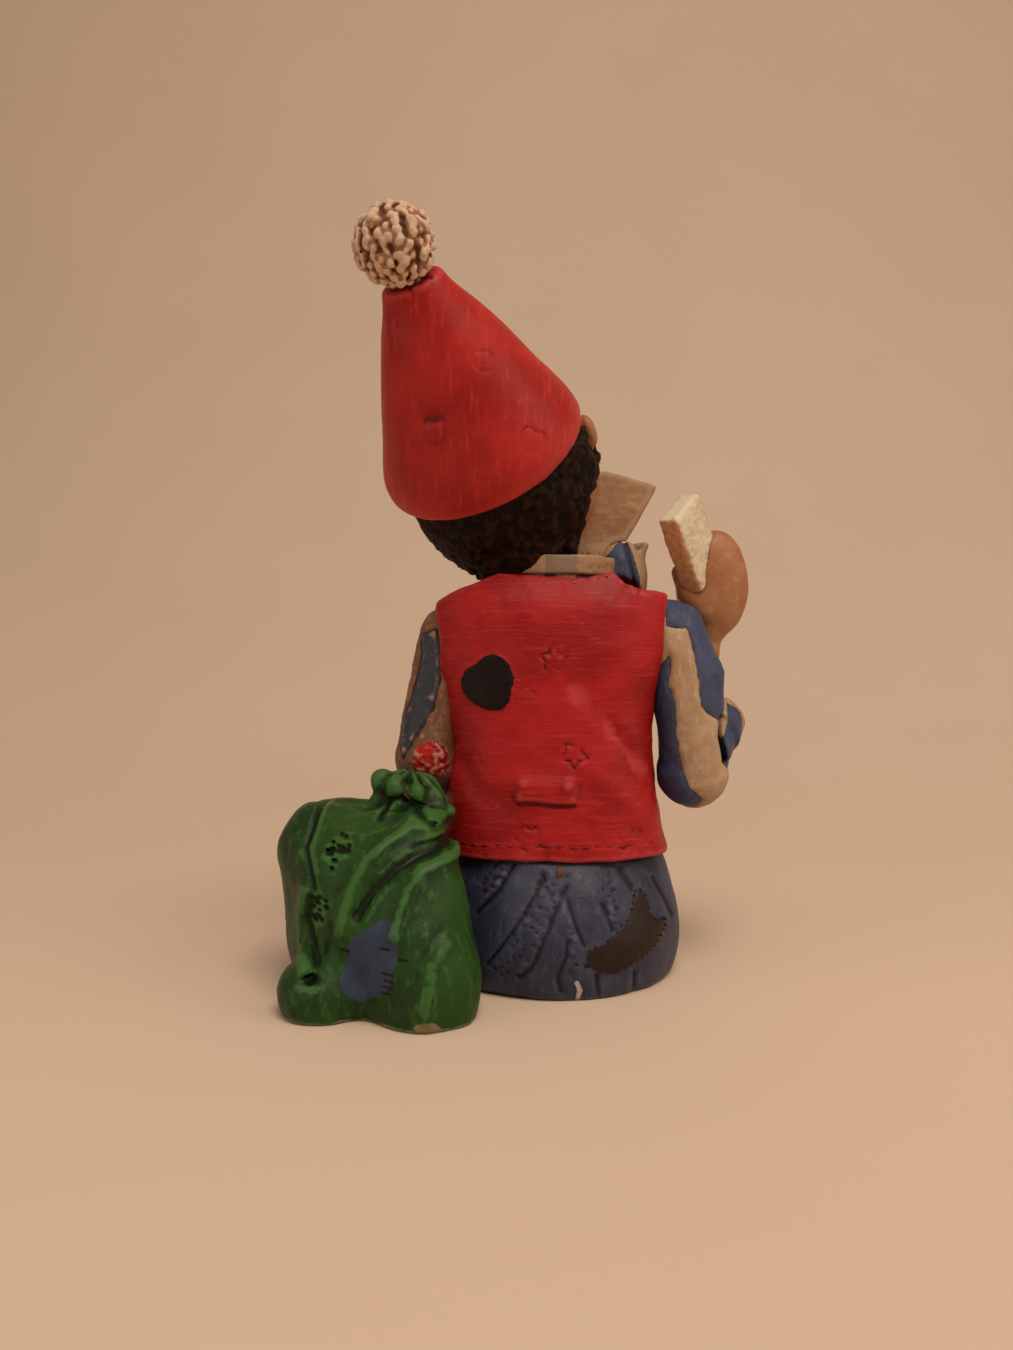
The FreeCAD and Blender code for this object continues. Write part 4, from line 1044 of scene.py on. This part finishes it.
def make_left_sleeve():
    nodes = ["left_sleeve", "left_cuff", "left_elbow_patch"]
    low, high = corners(*nodes)
    clay = Clay(low - 1.5, high + 1.5, 0.26)
    P = clay.P
    arm = clay.smooth(0.5, clay.of_node("left_sleeve"))
    cuff = clay.smooth(0.3, clay.of_node("left_cuff"))
    form = blend_min(arm, cuff, 1.2)
    form += 0.24 * clay.lumps(5.0, 91) + 0.12 * clay.lumps(1.8, 92) + 0.05 * clay.lumps(0.8, 93)
    mid = centre("left_sleeve")
    elbow = centre("left_elbow_patch")
    knit = np.exp(-(((P[0] - elbow[0]) / 5.0) ** 2 + ((P[2] - elbow[2]) / 6.5) ** 2))
    form += 0.2 * knit * clay.lumps(0.55, 94) * towards_back(P, mid[1] + 1)
    disc = np.hypot(P[0] - elbow[0], P[2] - elbow[2] - 0.2)
    rough = 0.34 * clay.lumps(0.6, 95)
    form -= (0.3 + rough) / (1 + np.exp((disc - 3.0) / 0.25)) * towards_back(P, mid[1] + 1)
    area = drawn("left_sleeve", LEFT_BLUE)
    gap = inside_outline(P[0], P[2], area)
    form += 0.2 * np.exp(-(((gap - 0.1) / 0.28) ** 2)) * towards_back(P, mid[1])
    clay.d = form.astype(np.float32)

    def blue(at):
        back = inside_outline(at[0], at[2], area)
        lane = -at[0] * 0.7 + at[1] * 0.5 + at[2] * 0.2
        front = np.abs(((lane + 1.0) % 6.4) - 3.2) - 1.5
        return np.where(at[1] > mid[1] + 1.5, back, front)

    def darn(at):
        far = np.hypot(at[0] - elbow[0], at[2] - elbow[2] - 0.2) - 3.0
        return far + 0.3 * np.sin(at[0] * 5) * np.sin(at[2] * 4) + only_behind(at, mid[1] + 1)

    paints = {"stripe": blue, "stripe_line": lambda at: np.abs(blue(at)) - 0.14, "darn": darn}
    # The left sleeve takes the darker copy of the shirt's paint: painted shade for the arm out of the light.
    cast(clay, "left_sleeve_cloth", nodes, MATERIALS["left_shirt"], paints)


# =============================================================================================
# Hands: a palm with four fingers and a thumb
# =============================================================================================
def make_right_hand():
    low, high = corners("right_hand")
    clay = Clay(low - [2, 3, 1], high + [4, 3, 1.5], 0.22)
    P = clay.P
    x, y, z = high[0] - 3.4, centre("right_hand")[1], high[2]
    form = chain(
        P, [[x - 0.8, y, low[2] + 1.5], [x - 0.2, y, z - 26.0], [x - 0.3, y + 0.2, z - 19.0]],
        [2.7, 2.1, 2.3], 1.0,
    )
    palm = egg(P, [x - 1.5, y + 0.9, z - 9.7], [5.9, 3.9, 9.7])
    form = blend_min(form, palm, 1.8)
    for k in range(4):
        root = [x - 3.6 + 0.2 * k, y - 2.9 + 0.3 * k, z - 3.0 - 3.0 * k]
        knuckle = [x - 0.6 + 0.3 * k, y - 5.2 + 0.3 * k, z - 1.8 - 3.0 * k]
        tip = [x + 3.6, y - 3.9 + 0.2 * k, z - 2.6 - 3.0 * k]
        finger = chain(P, [root, knuckle, tip], [1.6, 1.55, 1.25], 0.6)
        form = blend_min(form, finger, 0.7)
    thumb = chain(
        P, [[x + 0.6, y + 2.0, z - 14.5], [x + 3.6, y + 2.4, z - 11.4], [x + 4.9, y + 1.7, z - 7.6]],
        [2.1, 1.8, 1.5], 1.0,
    )
    form = blend_min(form, thumb, 1.0)
    form = blend_max(form, -(clay.of_node("bread_slice") - 0.15), 0.3)
    form += 0.12 * clay.lumps(3.0, 101) + 0.03 * clay.lumps(0.9, 102)
    clay.d = form.astype(np.float32)
    cast(clay, "right_hand_fingers", ["right_hand"], MATERIALS["skin"])


def make_left_hand():
    low, high = corners("left_hand")
    clay = Clay(low - [2, 3, 2.5], high + [2, 1, 2], 0.22)
    P = clay.P
    mid = centre("left_hand")
    start = centre("left_cuff")
    wrist = [start[0], start[1] - 1.0, start[2] - 0.2]
    form = chain(P, [wrist, [mid[0] + 1.4, mid[1] + 2.5, mid[2] - 0.4]], [2.9, 3.1], 1.0)
    palm = egg(P, [mid[0] - 0.2, mid[1] - 0.6, mid[2] - 0.6], [4.4, 5.4, 2.6], turned("X", 6))
    form = blend_min(form, palm, 2.0)
    for k in range(4):
        off = -3.2 + 2.1 * k
        root = [mid[0] + off, mid[1] - 4.0, mid[2] - 0.6]
        knuckle = [mid[0] + off * 1.05 - 0.4, mid[1] - 7.4 - 0.4 * (1 if k in (1, 2) else 0), mid[2] - 1.4]
        tip = [mid[0] + off * 1.05 - 0.6, mid[1] - 9.8, mid[2] - 4.6]
        form = blend_min(form, chain(P, [root, knuckle, tip], [1.5, 1.4, 1.15], 0.6), 0.6)
    thumb = chain(P, [[mid[0] - 3.4, mid[1] + 0.6, mid[2] - 1.4], [mid[0] - 6.0, mid[1] - 3.0, mid[2] - 3.0]],
                  [1.9, 1.4], 1.0)
    form = blend_min(form, thumb, 1.0)
    form += 0.1 * clay.lumps(3.0, 111) + 0.03 * clay.lumps(0.9, 112)
    leg = clay.of_node("left_trouser_leg")
    form = blend_max(form, -(leg - 0.2), 0.3)
    clay.d = form.astype(np.float32)
    cast(clay, "left_hand_fingers", ["left_hand"], MATERIALS["skin"])


# =============================================================================================
# Head: face, ears, eyes, brows, hair and beard, all set out in the head's own axes
# =============================================================================================
def on_head(x, y, z):
    return HEAD_AT + HEAD_TURN @ [x, y, z]


def make_head():
    nodes = ["head", "nose", "left_ear", "right_ear"]
    low, high = corners(*nodes)
    clay = Clay(low - 2, high + 2, 0.34)
    P = clay.P
    R = HEAD_RADIUS

    def at_head(x, y, z, radii, tilt=None):
        turn = HEAD_TURN if tilt is None else HEAD_TURN @ tilt
        return egg(P, on_head(x, y, z), radii, turn)

    form = clay.smooth(0.8, clay.of_node("head"))
    form = blend_min(form, at_head(0, -2.5, 1, [R * 0.86, R * 0.86, R * 0.94]), 2.0)
    for side in (-1, 1):
        cheek = at_head(6.6 * side, -12.6, -3.2, [3.9, 3.2, 3.3])
        form = blend_min(form, cheek, 2.2)
        socket = at_head(5.4 * side, -16.4, 1.6, [3.3, 2.4, 2.4])
        form = blend_max(form, -socket, 1.4)
        lid = at_head(5.4 * side, -14.0, 2.3, [2.9, 2.7, 1.5], turned("Y", 6 * side))
        form = blend_min(form, lid, 0.5)
        lower_lid = at_head(5.4 * side, -13.8, -0.5, [2.6, 2.2, 0.8])
        form = blend_min(form, lower_lid, 0.6)
        eye = at_head(5.4 * side, -R * 0.85, 1.2, [2.25, 2.25, 2.25])
        form = blend_max(form, -eye, 0.25)
        ear = at_head((R + 0.3) * side, 0.4, 3.0, [1.5, 2.6, 2.9], turned("Z", -20 * side))
        cup = at_head((R + 1.8) * side, -0.3, 3.3, [1.0, 1.4, 1.9], turned("Z", -20 * side))
        form = blend_min(form, blend_max(ear, -cup, 0.8), 1.0)
    bridge = chain(P, [on_head(0, -15.0, 3.4), on_head(0, -17.0, -1.6)], [1.6, 2.7], 1.0)
    form = blend_min(form, bridge, 1.6)
    tip = at_head(0, -R * 1.06, -2.4, [3.5, 3.6, 3.2])
    form = blend_min(form, tip, 1.0)
    for side in (-1, 1):
        form = blend_min(form, at_head(2.6 * side, -16.0, -3.0, [1.6, 1.8, 1.5]), 0.8)
    lips = at_head(0, -15.4, -7.4, [4.0, 2.0, 1.5])
    form = blend_min(form, lips, 0.9)
    X, Y, Z = local(P, HEAD_AT, HEAD_TURN)
    mouth = np.exp(-(((Z + 7.3 - 0.035 * X * X) / 0.35) ** 2)) * np.exp(-((X / 3.8) ** 6))
    form += 0.8 * mouth * (Y < 0)
    form += 0.12 * clay.lumps(4.0, 121) + 0.03 * clay.lumps(1.0, 122)
    clay.d = form.astype(np.float32)

    def lips_rule(at):
        X, Y, Z = local(at, HEAD_AT, HEAD_TURN)
        return np.where(Y < -8, np.sqrt((X / 3.9) ** 2 + ((Z + 7.4) / 1.35) ** 2) - 1, 9)

    def blush_rule(at):
        X, Y, Z = local(at, HEAD_AT, HEAD_TURN)
        cheeks = np.minimum(np.hypot(X - 7.2, Z + 3.4), np.hypot(X + 7.2, Z + 3.4)) - 2.4
        nose = np.hypot(X, Z + 2.4) - 2.4 + np.where(Y < -17.5, 0, 9)
        return np.where(Y < -6, np.minimum(cheeks, nose), 9)

    cast(clay, "head_face", nodes, MATERIALS["skin"], {"lips": lips_rule, "blush": blush_rule})


def make_eyes():
    for node in ("left_eye", "right_eye"):
        low, high = corners(node)
        clay = Clay(low - 0.6, high + 0.6, 0.12)
        mid = centre(node)
        clay.d = egg(clay.P, mid, [EYE_RADIUS] * 3).astype(np.float32)
        gaze = HEAD_TURN @ np.array([-0.12, -1.0, -0.16])
        gaze /= np.linalg.norm(gaze)

        def off_gaze(at, mid=mid, gaze=gaze):
            q = [at[i] - mid[i] for i in range(3)]
            size = np.sqrt(sum(c * c for c in q)) + 1e-6
            cosine = sum(q[i] * gaze[i] for i in range(3)) / size
            return np.arccos(np.clip(cosine, -1, 1)) * EYE_RADIUS

        paints = {"iris": lambda at: off_gaze(at) - 1.15, "pupil": lambda at: off_gaze(at) - 0.55}
        cast(clay, f"{node}_ball", [node], MATERIALS["eyes"], paints)


def shaggy(clay, form, seed, coarse=2.0, depth=0.9):
    """Rough locks: soft lumps at two sizes, with stippled clay over them."""
    form -= depth * 0.32 * clay.lumps(coarse, seed)
    form -= depth * 0.3 * clay.lumps(coarse * 0.45, seed + 1)
    form -= 0.16 * clay.lumps(0.6, seed + 2)
    return form


def make_hair():
    low, high = corners("hair")
    clay = Clay(low - 2.5, high + 2, 0.3)
    P = clay.P
    R = HEAD_RADIUS
    X, Y, Z = local(P, HEAD_AT, HEAD_TURN)
    shell = np.sqrt(X * X + (Y - 0.6) ** 2 + Z * Z) - (R + 1.1)
    fringe = -3.6 - 0.9 * np.sin(Z * 1.1) - Y
    form = blend_max(shell, fringe, 1.0)
    form = blend_max(form, -(np.sqrt(X * X + Y * Y + Z * Z) - (R - 1.2)), 0.4)
    nape = on_head(0.5, 11.5, -11.5)
    form = blend_min(form, egg(P, nape, [7.5, 3.4, 3.8], HEAD_TURN), 2.0)
    rng = np.random.default_rng(7)
    for _ in range(40):
        turn = math.radians(rng.uniform(-95, 95))
        drop = rng.uniform(-14.0, -11.0)
        ring = math.sqrt(max(R * R - drop * drop, 1))
        root = np.array([ring * math.sin(turn), ring * math.cos(turn) + 0.6, drop])
        if root[1] < -2:
            continue
        end = root * 1.03 + [rng.uniform(-0.8, 0.8), 0.3, -1.2]
        lock = sausage(P, on_head(*root), on_head(*end), rng.uniform(0.9, 1.3), 0.6)
        form = blend_min(form, lock, 0.8)
    trim = (centre("head")[0] - 16.4 + np.maximum(87 - P[2], 0) * 0.27) - P[0]
    form = blend_max(form, trim * 0.96, 1.2)
    for side in (-1, 1):
        ear = egg(P, on_head((R + 0.8) * side, 0.9, 1.2), [2.6, 2.9, 4.2],
                  HEAD_TURN @ turned("Z", -20 * side))
        form = blend_max(form, -ear, 0.6)
    form = shaggy(clay, form, 131)
    form = np.maximum(form, -(clay.of_node("vest") - 0.1))
    clay.d = form.astype(np.float32)
    cast(clay, "hair_locks", ["hair"], MATERIALS["hair"])


def make_beard():
    low, high = corners("beard")
    clay = Clay(low - 1.5, high + 1.5, 0.3)
    P = clay.P
    X, Y, Z = local(P, HEAD_AT, HEAD_TURN)
    form = clay.smooth(1.0, clay.of_node("beard"))
    form += 0.45 * np.sin(np.arctan2(X, -Y) * 26 + 0.5 * np.sin(Z * 1.2)) * (Y < 0)
    form = shaggy(clay, form, 141, 1.8, 0.7)
    clay.d = form.astype(np.float32)
    cast(clay, "beard_locks", ["beard"], MATERIALS["hair"])
    low, high = corners("eyebrows")
    clay = Clay(low - 0.8, high + 0.8, 0.16)
    form = clay.smooth(0.3, clay.of_node("eyebrows", 2.0)) - 0.15
    form -= 0.25 * clay.lumps(0.7, 151)
    clay.d = form.astype(np.float32)
    cast(clay, "eyebrow_tufts", ["eyebrows"], MATERIALS["hair"])


# =============================================================================================
# Bread, boots and sack
# =============================================================================================
def make_bread():
    low, high = corners("bread_slice")
    clay = Clay(low - 1, high + 1, 0.2)
    form = clay.smooth(0.35, clay.of_node("bread_slice", 3.0)) - 0.1
    form += 0.14 * clay.lumps(2.4, 161) + 0.1 * clay.lumps(0.7, 162)
    clay.d = form.astype(np.float32)
    across = np.array([-0.511, -0.619, 0.597])
    through = np.array([-0.781, 0.627, -0.016])
    turn = np.stack([across, through, np.cross(across, through)], axis=1)
    mid = centre("bread_slice")

    crumb_half_width = 4.25

    def crust(at):
        return crumb_half_width - np.abs(local(at, mid, turn)[0])

    cast(clay, "bread_slice_crumb", ["bread_slice"], MATERIALS["bread"], {"crust": crust})


def make_boots():
    for side in ("left", "right"):
        node = f"{side}_boot"
        low, high = corners(node)
        clay = Clay(low - [1.5, 1.5, 0.5], high + 1.5, 0.3)
        P = clay.P
        mid = centre(node)
        form = clay.smooth(0.7, clay.of_node(node))
        toe = egg(P, [mid[0] + (0.8 if side == "left" else -0.8), mid[1] - 6.2, 4.8], [5.6, 5.6, 4.6])
        form = blend_min(form, toe, 1.5)
        seam = np.abs(P[1] - (mid[1] - 3.2) + 0.05 * (P[0] - mid[0]) ** 2)
        form += 0.3 * np.exp(-((seam / 0.35) ** 2))
        for k in range(3):
            y = mid[1] - 0.9 + 2.3 * k
            gap = np.abs(P[1] - y + 0.35 * np.abs(P[0] - mid[0]))
            near = np.exp(-(((P[0] - mid[0]) / 3.0) ** 4)) * (P[2] > 7.5)
            form -= 0.45 * np.exp(-((gap / 0.45) ** 2)) * near
        form += 0.15 * clay.lumps(3.5, 171) + 0.04 * clay.lumps(1.0, 172)
        form = np.maximum(form, 2.3 - P[2])
        clay.d = form.astype(np.float32)
        cast(clay, f"{side}_boot_leather", [node], MATERIALS["boots"])
        low, high = corners(f"{side}_boot_sole")
        clay = Clay(low - [1, 1, 0.6], high + [1, 1, 0.6], 0.26)
        form = clay.smooth(0.3, clay.of_node(f"{side}_boot_sole"))
        groove = np.exp(-(((clay.P[2] - 1.2) / 0.3) ** 2))
        form += 0.22 * groove + 0.06 * clay.lumps(1.4, 175)
        clay.d = np.maximum(form, -clay.P[2]).astype(np.float32)
        cast(clay, f"{side}_sole_welt", [f"{side}_boot_sole"], MATERIALS["soles"])


SACK_PATCH = [
    (-2.2, -0.4), (-3.7, 0.2), (-6.1, -0.1), (-5.9, -2.8), (-5.8, -5.8), (-4.3, -9.9), (-2.8, -10.9),
    (-0.1, -12.1), (2.0, -10.9), (2.9, -9.1), (2.0, -5.9), (1.4, -3.2), (-0.7, -1.7),
]
SACK_FOLDS = [
    ([(-13.7, 8.5), (-14.7, 10.7), (-13.9, 12.5), (-11.9, 13.2), (-6.9, 12.7), (-3.6, 10.7),
      (-0.7, 8.2), (1.3, 4.6), (2.6, 0.6), (3.3, -2.0)], 1.25, -0.95),
    ([(-12.0, 9.7), (-8.6, 8.7), (-5.3, 6.9), (-2.0, 3.9), (0.3, 0.3)], 0.95, 0.95),
    ([(-12.0, 8.0), (-8.9, 6.6), (-7.1, 4.2), (-6.1, 1.6), (-5.4, -1.7)], 1.2, -0.75),
    ([(-11.9, 10.3), (-9.6, 10.2), (-7.3, 9.7)], 0.35, 0.45),
    ([(11.2, 15.6), (12.9, 12.8), (12.9, 9.9), (11.6, 7.9)], 1.5, -0.5),
    ([(9.4, 15.1), (9.7, 11.2), (10.2, 8.5), (8.9, 5.9), (7.9, 3.2)], 0.55, 0.55),
    ([(8.4, 15.1), (8.4, 11.2), (8.8, 8.2), (7.6, 5.9)], 0.9, -0.35),
    ([(9.9, 2.3), (11.1, -1.7), (10.7, -5.3), (8.3, -7.6)], 1.2, -0.7),
    ([(8.4, 1.6), (8.9, -2.0), (7.9, -5.3), (6.9, -7.3)], 0.7, 0.5),
    ([(4.6, -2.0), (5.6, -5.3), (6.6, -8.0)], 1.0, 0.4),
    ([(-12.9, -3.4), (-11.2, -6.0), (-10.2, -9.3), (-10.2, -13.3)], 1.2, -0.35),
    ([(-11.2, -1.7), (-9.2, -5.0), (-8.6, -10.0)], 0.9, 0.3),
]
SACK_HOLE = (7.3, -9.0)
SACK_GASHES = [
    [(3.3, 12.0), (2.5, 10.2), (2.8, 7.7), (4.0, 7.5), (5.3, 5.6), (5.9, 6.9), (6.3, 8.5), (4.8, 10.5)],
    [(7.1, 2.3), (5.4, 1.6), (5.0, -0.1), (6.9, -2.0), (8.3, -1.4), (8.3, 0.6)],
]


def make_sack():
    nodes = ["sack", "sack_neck", "sack_patch"]
    low, high = corners(*nodes)
    clay = Clay(low - [2.5, 2, 0.6], high + [2.5, 2.5, 2], 0.28)
    P = clay.P
    mid = centre("sack")
    form = clay.smooth(1.0, clay.of_node("sack", 6.0))
    lowered = int(round(1.3 / clay.grain))
    form = np.roll(form, -lowered, 2)
    form[:, :, -lowered:] = 6.0
    corner = egg(P, [mid[0] + 11.6, mid[1] - 4.5, mid[2] + 8.0], [4.6, 5.0, 5.4])
    form = blend_min(form, corner, 2.5)
    foot = egg(P, [mid[0] - 9.6, mid[1] + 10.4, 4.6], [6.4, 8.6, 8.8])
    form = blend_min(form, foot, 3.0)
    heel = egg(P, [mid[0] + 6.0, mid[1] + 9.0, 3.0], [7.0, 7.0, 6.0])
    form = blend_min(form, heel, 3.0)
    neck = centre("sack_neck")
    gather = chain(P, [[neck[0] + 1.2, neck[1] + 1.0, neck[2] - 5.0],
                       [neck[0] + 0.2, neck[1] + 0.4, neck[2] - 1.4]], [6.4, 4.4], 1.0)
    form = blend_min(form, gather, 2.5)
    flap = chain(P, [neck + [4.4, 2.4, -1.6], neck + [1.6, 3.4, 0.2], neck + [-1.8, 3.2, -1.4],
                     neck + [-5.0, 2.4, -3.4]], [1.7, 2.2, 2.0, 1.6], 1.0)
    form = blend_min(form, flap, 0.8)
    # The gathered cloth rolls right over the twine and hides it.
    form = blend_min(form, clay.of_node("sack_tie", 3.0) - 0.45, 0.8)
    for dx, dy, dz, r in ((1.4, 0.4, 0.9, 2.3), (-1.4, -0.6, 0.4, 2.2), (0.6, -2.6, 0.6, 2.2)):
        form = blend_min(form, egg(P, neck + [dx, dy, dz], [r * 1.2, r, r]), 0.9)
    turn = np.arctan2(P[1] - neck[1], P[0] - neck[0])
    far = np.sqrt((P[0] - neck[0]) ** 2 + (P[1] - neck[1]) ** 2)
    drop = np.maximum(neck[2] + 1 - P[2], 0)
    pleat = np.exp(-((far - 8) / 7) ** 2) * np.exp(-drop / 8.0)
    form += 0.5 * np.sin(turn * 9 + 0.12 * drop) * pleat
    form += 0.5 * clay.lumps(7.0, 181) + 0.14 * clay.lumps(2.4, 182) + 0.04 * clay.lumps(0.9, 183)
    back = mid[1] - 8
    for line, wide, deep in SACK_FOLDS:
        press(form, P, drawn("sack", line), wide, deep, back)
    roll = drawn("sack_neck", [(3.0, -2.6), (2.6, -0.6), (0.6, -0.2), (-2.2, -1.6), (-5.2, -3.4)])
    press(form, P, roll, 0.5, 0.6, neck[1])
    for k, area in enumerate(SACK_GASHES):
        prick(form, P, drawn("sack", area), 0.9, 0.42, 0.75, 190 + k, back)
    hole = drawn("sack", [SACK_HOLE])[0]
    pit = np.hypot((P[0] - hole[0]) * 0.75, (P[2] - hole[1]) * 1.3)
    form += 1.4 * np.exp(-((pit / 0.85) ** 2)) * towards_back(P, back)
    patch = drawn("sack", SACK_PATCH)
    gap = inside_outline(P[0], P[2], patch)
    form -= 0.16 / (1 + np.exp(gap / 0.25)) * towards_back(P, back)
    clay.d = np.maximum(form, -P[2]).astype(np.float32)
    stitches = [
        (-6.8, -5.1), (-4.0, -3.8), (-4.4, -7.3), (-4.6, -8.3), (-4.6, -9.2), (-4.2, -10.1),
        (2.3, -4.8),
    ]
    marks = [drawn("sack", [(sx - 0.7, sz), (sx + 0.7, sz + 0.1)]) for sx, sz in stitches]

    def stitch_rule(at):
        gaps = [outline_gap(at[0], at[2], m, False) for m in marks]
        return np.minimum.reduce(gaps) - 0.19 + only_behind(at, back + 6)

    def hole_rule(at):
        reach = np.hypot((at[0] - hole[0]) * 0.7, at[2] - hole[1]) - 0.75
        return reach + only_behind(at, mid[1] - 4)

    def chip_rule(at):
        edge = at[2] - 0.4 - 0.25 * np.sin(at[0] * 1.3) * np.sin(at[0] * 0.41 + 1)
        spot = np.hypot((at[0] - mid[0] + 10.2) * 0.6, at[2] - 0.9) - 1.0
        return np.minimum(edge, spot)

    paints = {
        "patch": lambda at: inside_outline(at[0], at[2], patch) + only_behind(at, back + 6),
        "stitch": stitch_rule,
        "hole": hole_rule,
        "chip": chip_rule,
    }
    cast(clay, "sack_cloth", nodes, MATERIALS["sack"], paints)


def make_sack_tie():
    low, high = corners("sack_tie")
    clay = Clay(low - 1, high + 1, 0.2)
    P = clay.P
    mid = centre("sack_tie")
    form = clay.smooth(0.3, clay.of_node("sack_tie", 2.0)) + 0.1
    turn = np.arctan2(P[1] - mid[1], P[0] - mid[0])
    form += 0.18 * np.sin(turn * 22 + (P[2] - mid[2]) * 3.0)
    clay.d = form.astype(np.float32)
    cast(clay, "sack_twine", ["sack_tie"], MATERIALS["rope"])


make_hat()
make_pompom()
make_trousers()
make_shirt()
make_shirt_shoulder()
make_collar()
make_vest()
make_buttons()
make_right_sleeve()
make_left_sleeve()
make_right_hand()
make_left_hand()
make_head()
make_eyes()
make_hair()
make_beard()
make_bread()
make_boots()
make_sack()
make_sack_tie()


# =============================================================================================
# Stage, light and camera
# =============================================================================================
def paper_material():
    # Pale matt studio paper: even, with the faintest cloudiness so that it does not look printed.
    material = bpy.data.materials.new("matt_paper_sweep")
    material.use_nodes = True
    tree = material.node_tree
    tree.nodes.clear()
    place = add(tree, "ShaderNodeTexCoord").outputs["Object"]
    cloud = add(tree, "ShaderNodeTexNoise", {"Scale": 9.0, "Detail": 2.0}, {"Vector": place})
    colour = add(tree, "ShaderNodeMix", {**BLEND, 6: "d3bca6", 7: "d9c3ae"}, {0: cloud})
    shader = add(tree, "ShaderNodeBsdfPrincipled", {"Roughness": 0.9},
                 {"Base Color": colour.outputs[2]})
    add(tree, "ShaderNodeOutputMaterial", None, {"Surface": shader})
    return material


def make_stage():
    """A pale sheet that lies flat and curves up behind the figure."""
    rows = [(0.9, 0.0)]
    for k in range(33):
        angle = math.pi / 2 * k / 32
        rows.append((-0.12 - 0.45 * math.sin(angle), 0.45 - 0.45 * math.cos(angle)))
    rows.append((-0.57, 1.6))
    mesh = bpy.data.meshes.new("pale_sweep")
    points = [(x, y, z) for y, z in rows for x in (-1.8, 1.8)]
    faces = [(2 * k, 2 * k + 1, 2 * k + 3, 2 * k + 2) for k in range(len(rows) - 1)]
    mesh.from_pydata(points, [], faces)
    for polygon in mesh.polygons:
        polygon.use_smooth = True
    mesh.materials.append(paper_material())
    sweep = bpy.data.objects.new("pale_sweep", mesh)
    bpy.context.scene.collection.objects.link(sweep)


def soft_light(name, at, aim, wide, power, tint):
    lamp = bpy.data.lights.new(name, "AREA")
    lamp.shape = "DISK"
    lamp.size = wide
    lamp.energy = power
    lamp.color = tint
    made = bpy.data.objects.new(name, lamp)
    made.location = at
    made.rotation_euler = (Vector(aim) - Vector(at)).to_track_quat("-Z", "Y").to_euler()
    bpy.context.scene.collection.objects.link(made)


def make_lights():
    warm = (1.0, 0.84, 0.7)
    aim = (0.005, 0, 0.055)
    soft_light("soft_overhead", (-0.15, 0.35, 0.75), aim, 0.5, 4.1, warm)
    soft_light("soft_right", (-0.6, 0.25, 0.35), aim, 0.5, 1.05, warm)
    soft_light("soft_left", (0.6, 0.4, 0.3), aim, 0.6, 0.7, warm)
    world = bpy.data.worlds.new("room")
    world.use_nodes = True
    back = world.node_tree.nodes["Background"]
    back.inputs["Color"].default_value = (1.0, 0.86, 0.74, 1)
    back.inputs["Strength"].default_value = 0.3
    bpy.context.scene.world = world


# The frame is 1013 wide and 1350 high; the focal length is in the same units.
FOCAL_LENGTH, FRAME_HEIGHT = 1014, 1350
CAMERA_AT = (0.0, 0.177, 0.052)
CAMERA_TURN = (math.radians(2.57), math.radians(0.62))


def make_camera():
    """From behind the figure, at the height of its chest, as one looks at it on a shelf."""
    lens = bpy.data.cameras.new("camera")
    lens.sensor_fit = "VERTICAL"
    lens.sensor_height = 36.0
    lens.lens = lens.sensor_height * FOCAL_LENGTH / FRAME_HEIGHT
    lens.clip_start = 0.01
    camera = bpy.data.objects.new("camera", lens)
    camera.location = CAMERA_AT
    yaw, pitch = CAMERA_TURN
    look = Vector((math.sin(yaw) * math.cos(pitch), -math.cos(yaw) * math.cos(pitch), -math.sin(pitch)))
    camera.rotation_euler = look.to_track_quat("-Z", "Y").to_euler()
    bpy.context.scene.collection.objects.link(camera)
    bpy.context.scene.camera = camera


make_stage()
make_lights()
make_camera()
bpy.context.scene.view_settings.view_transform = "Standard"
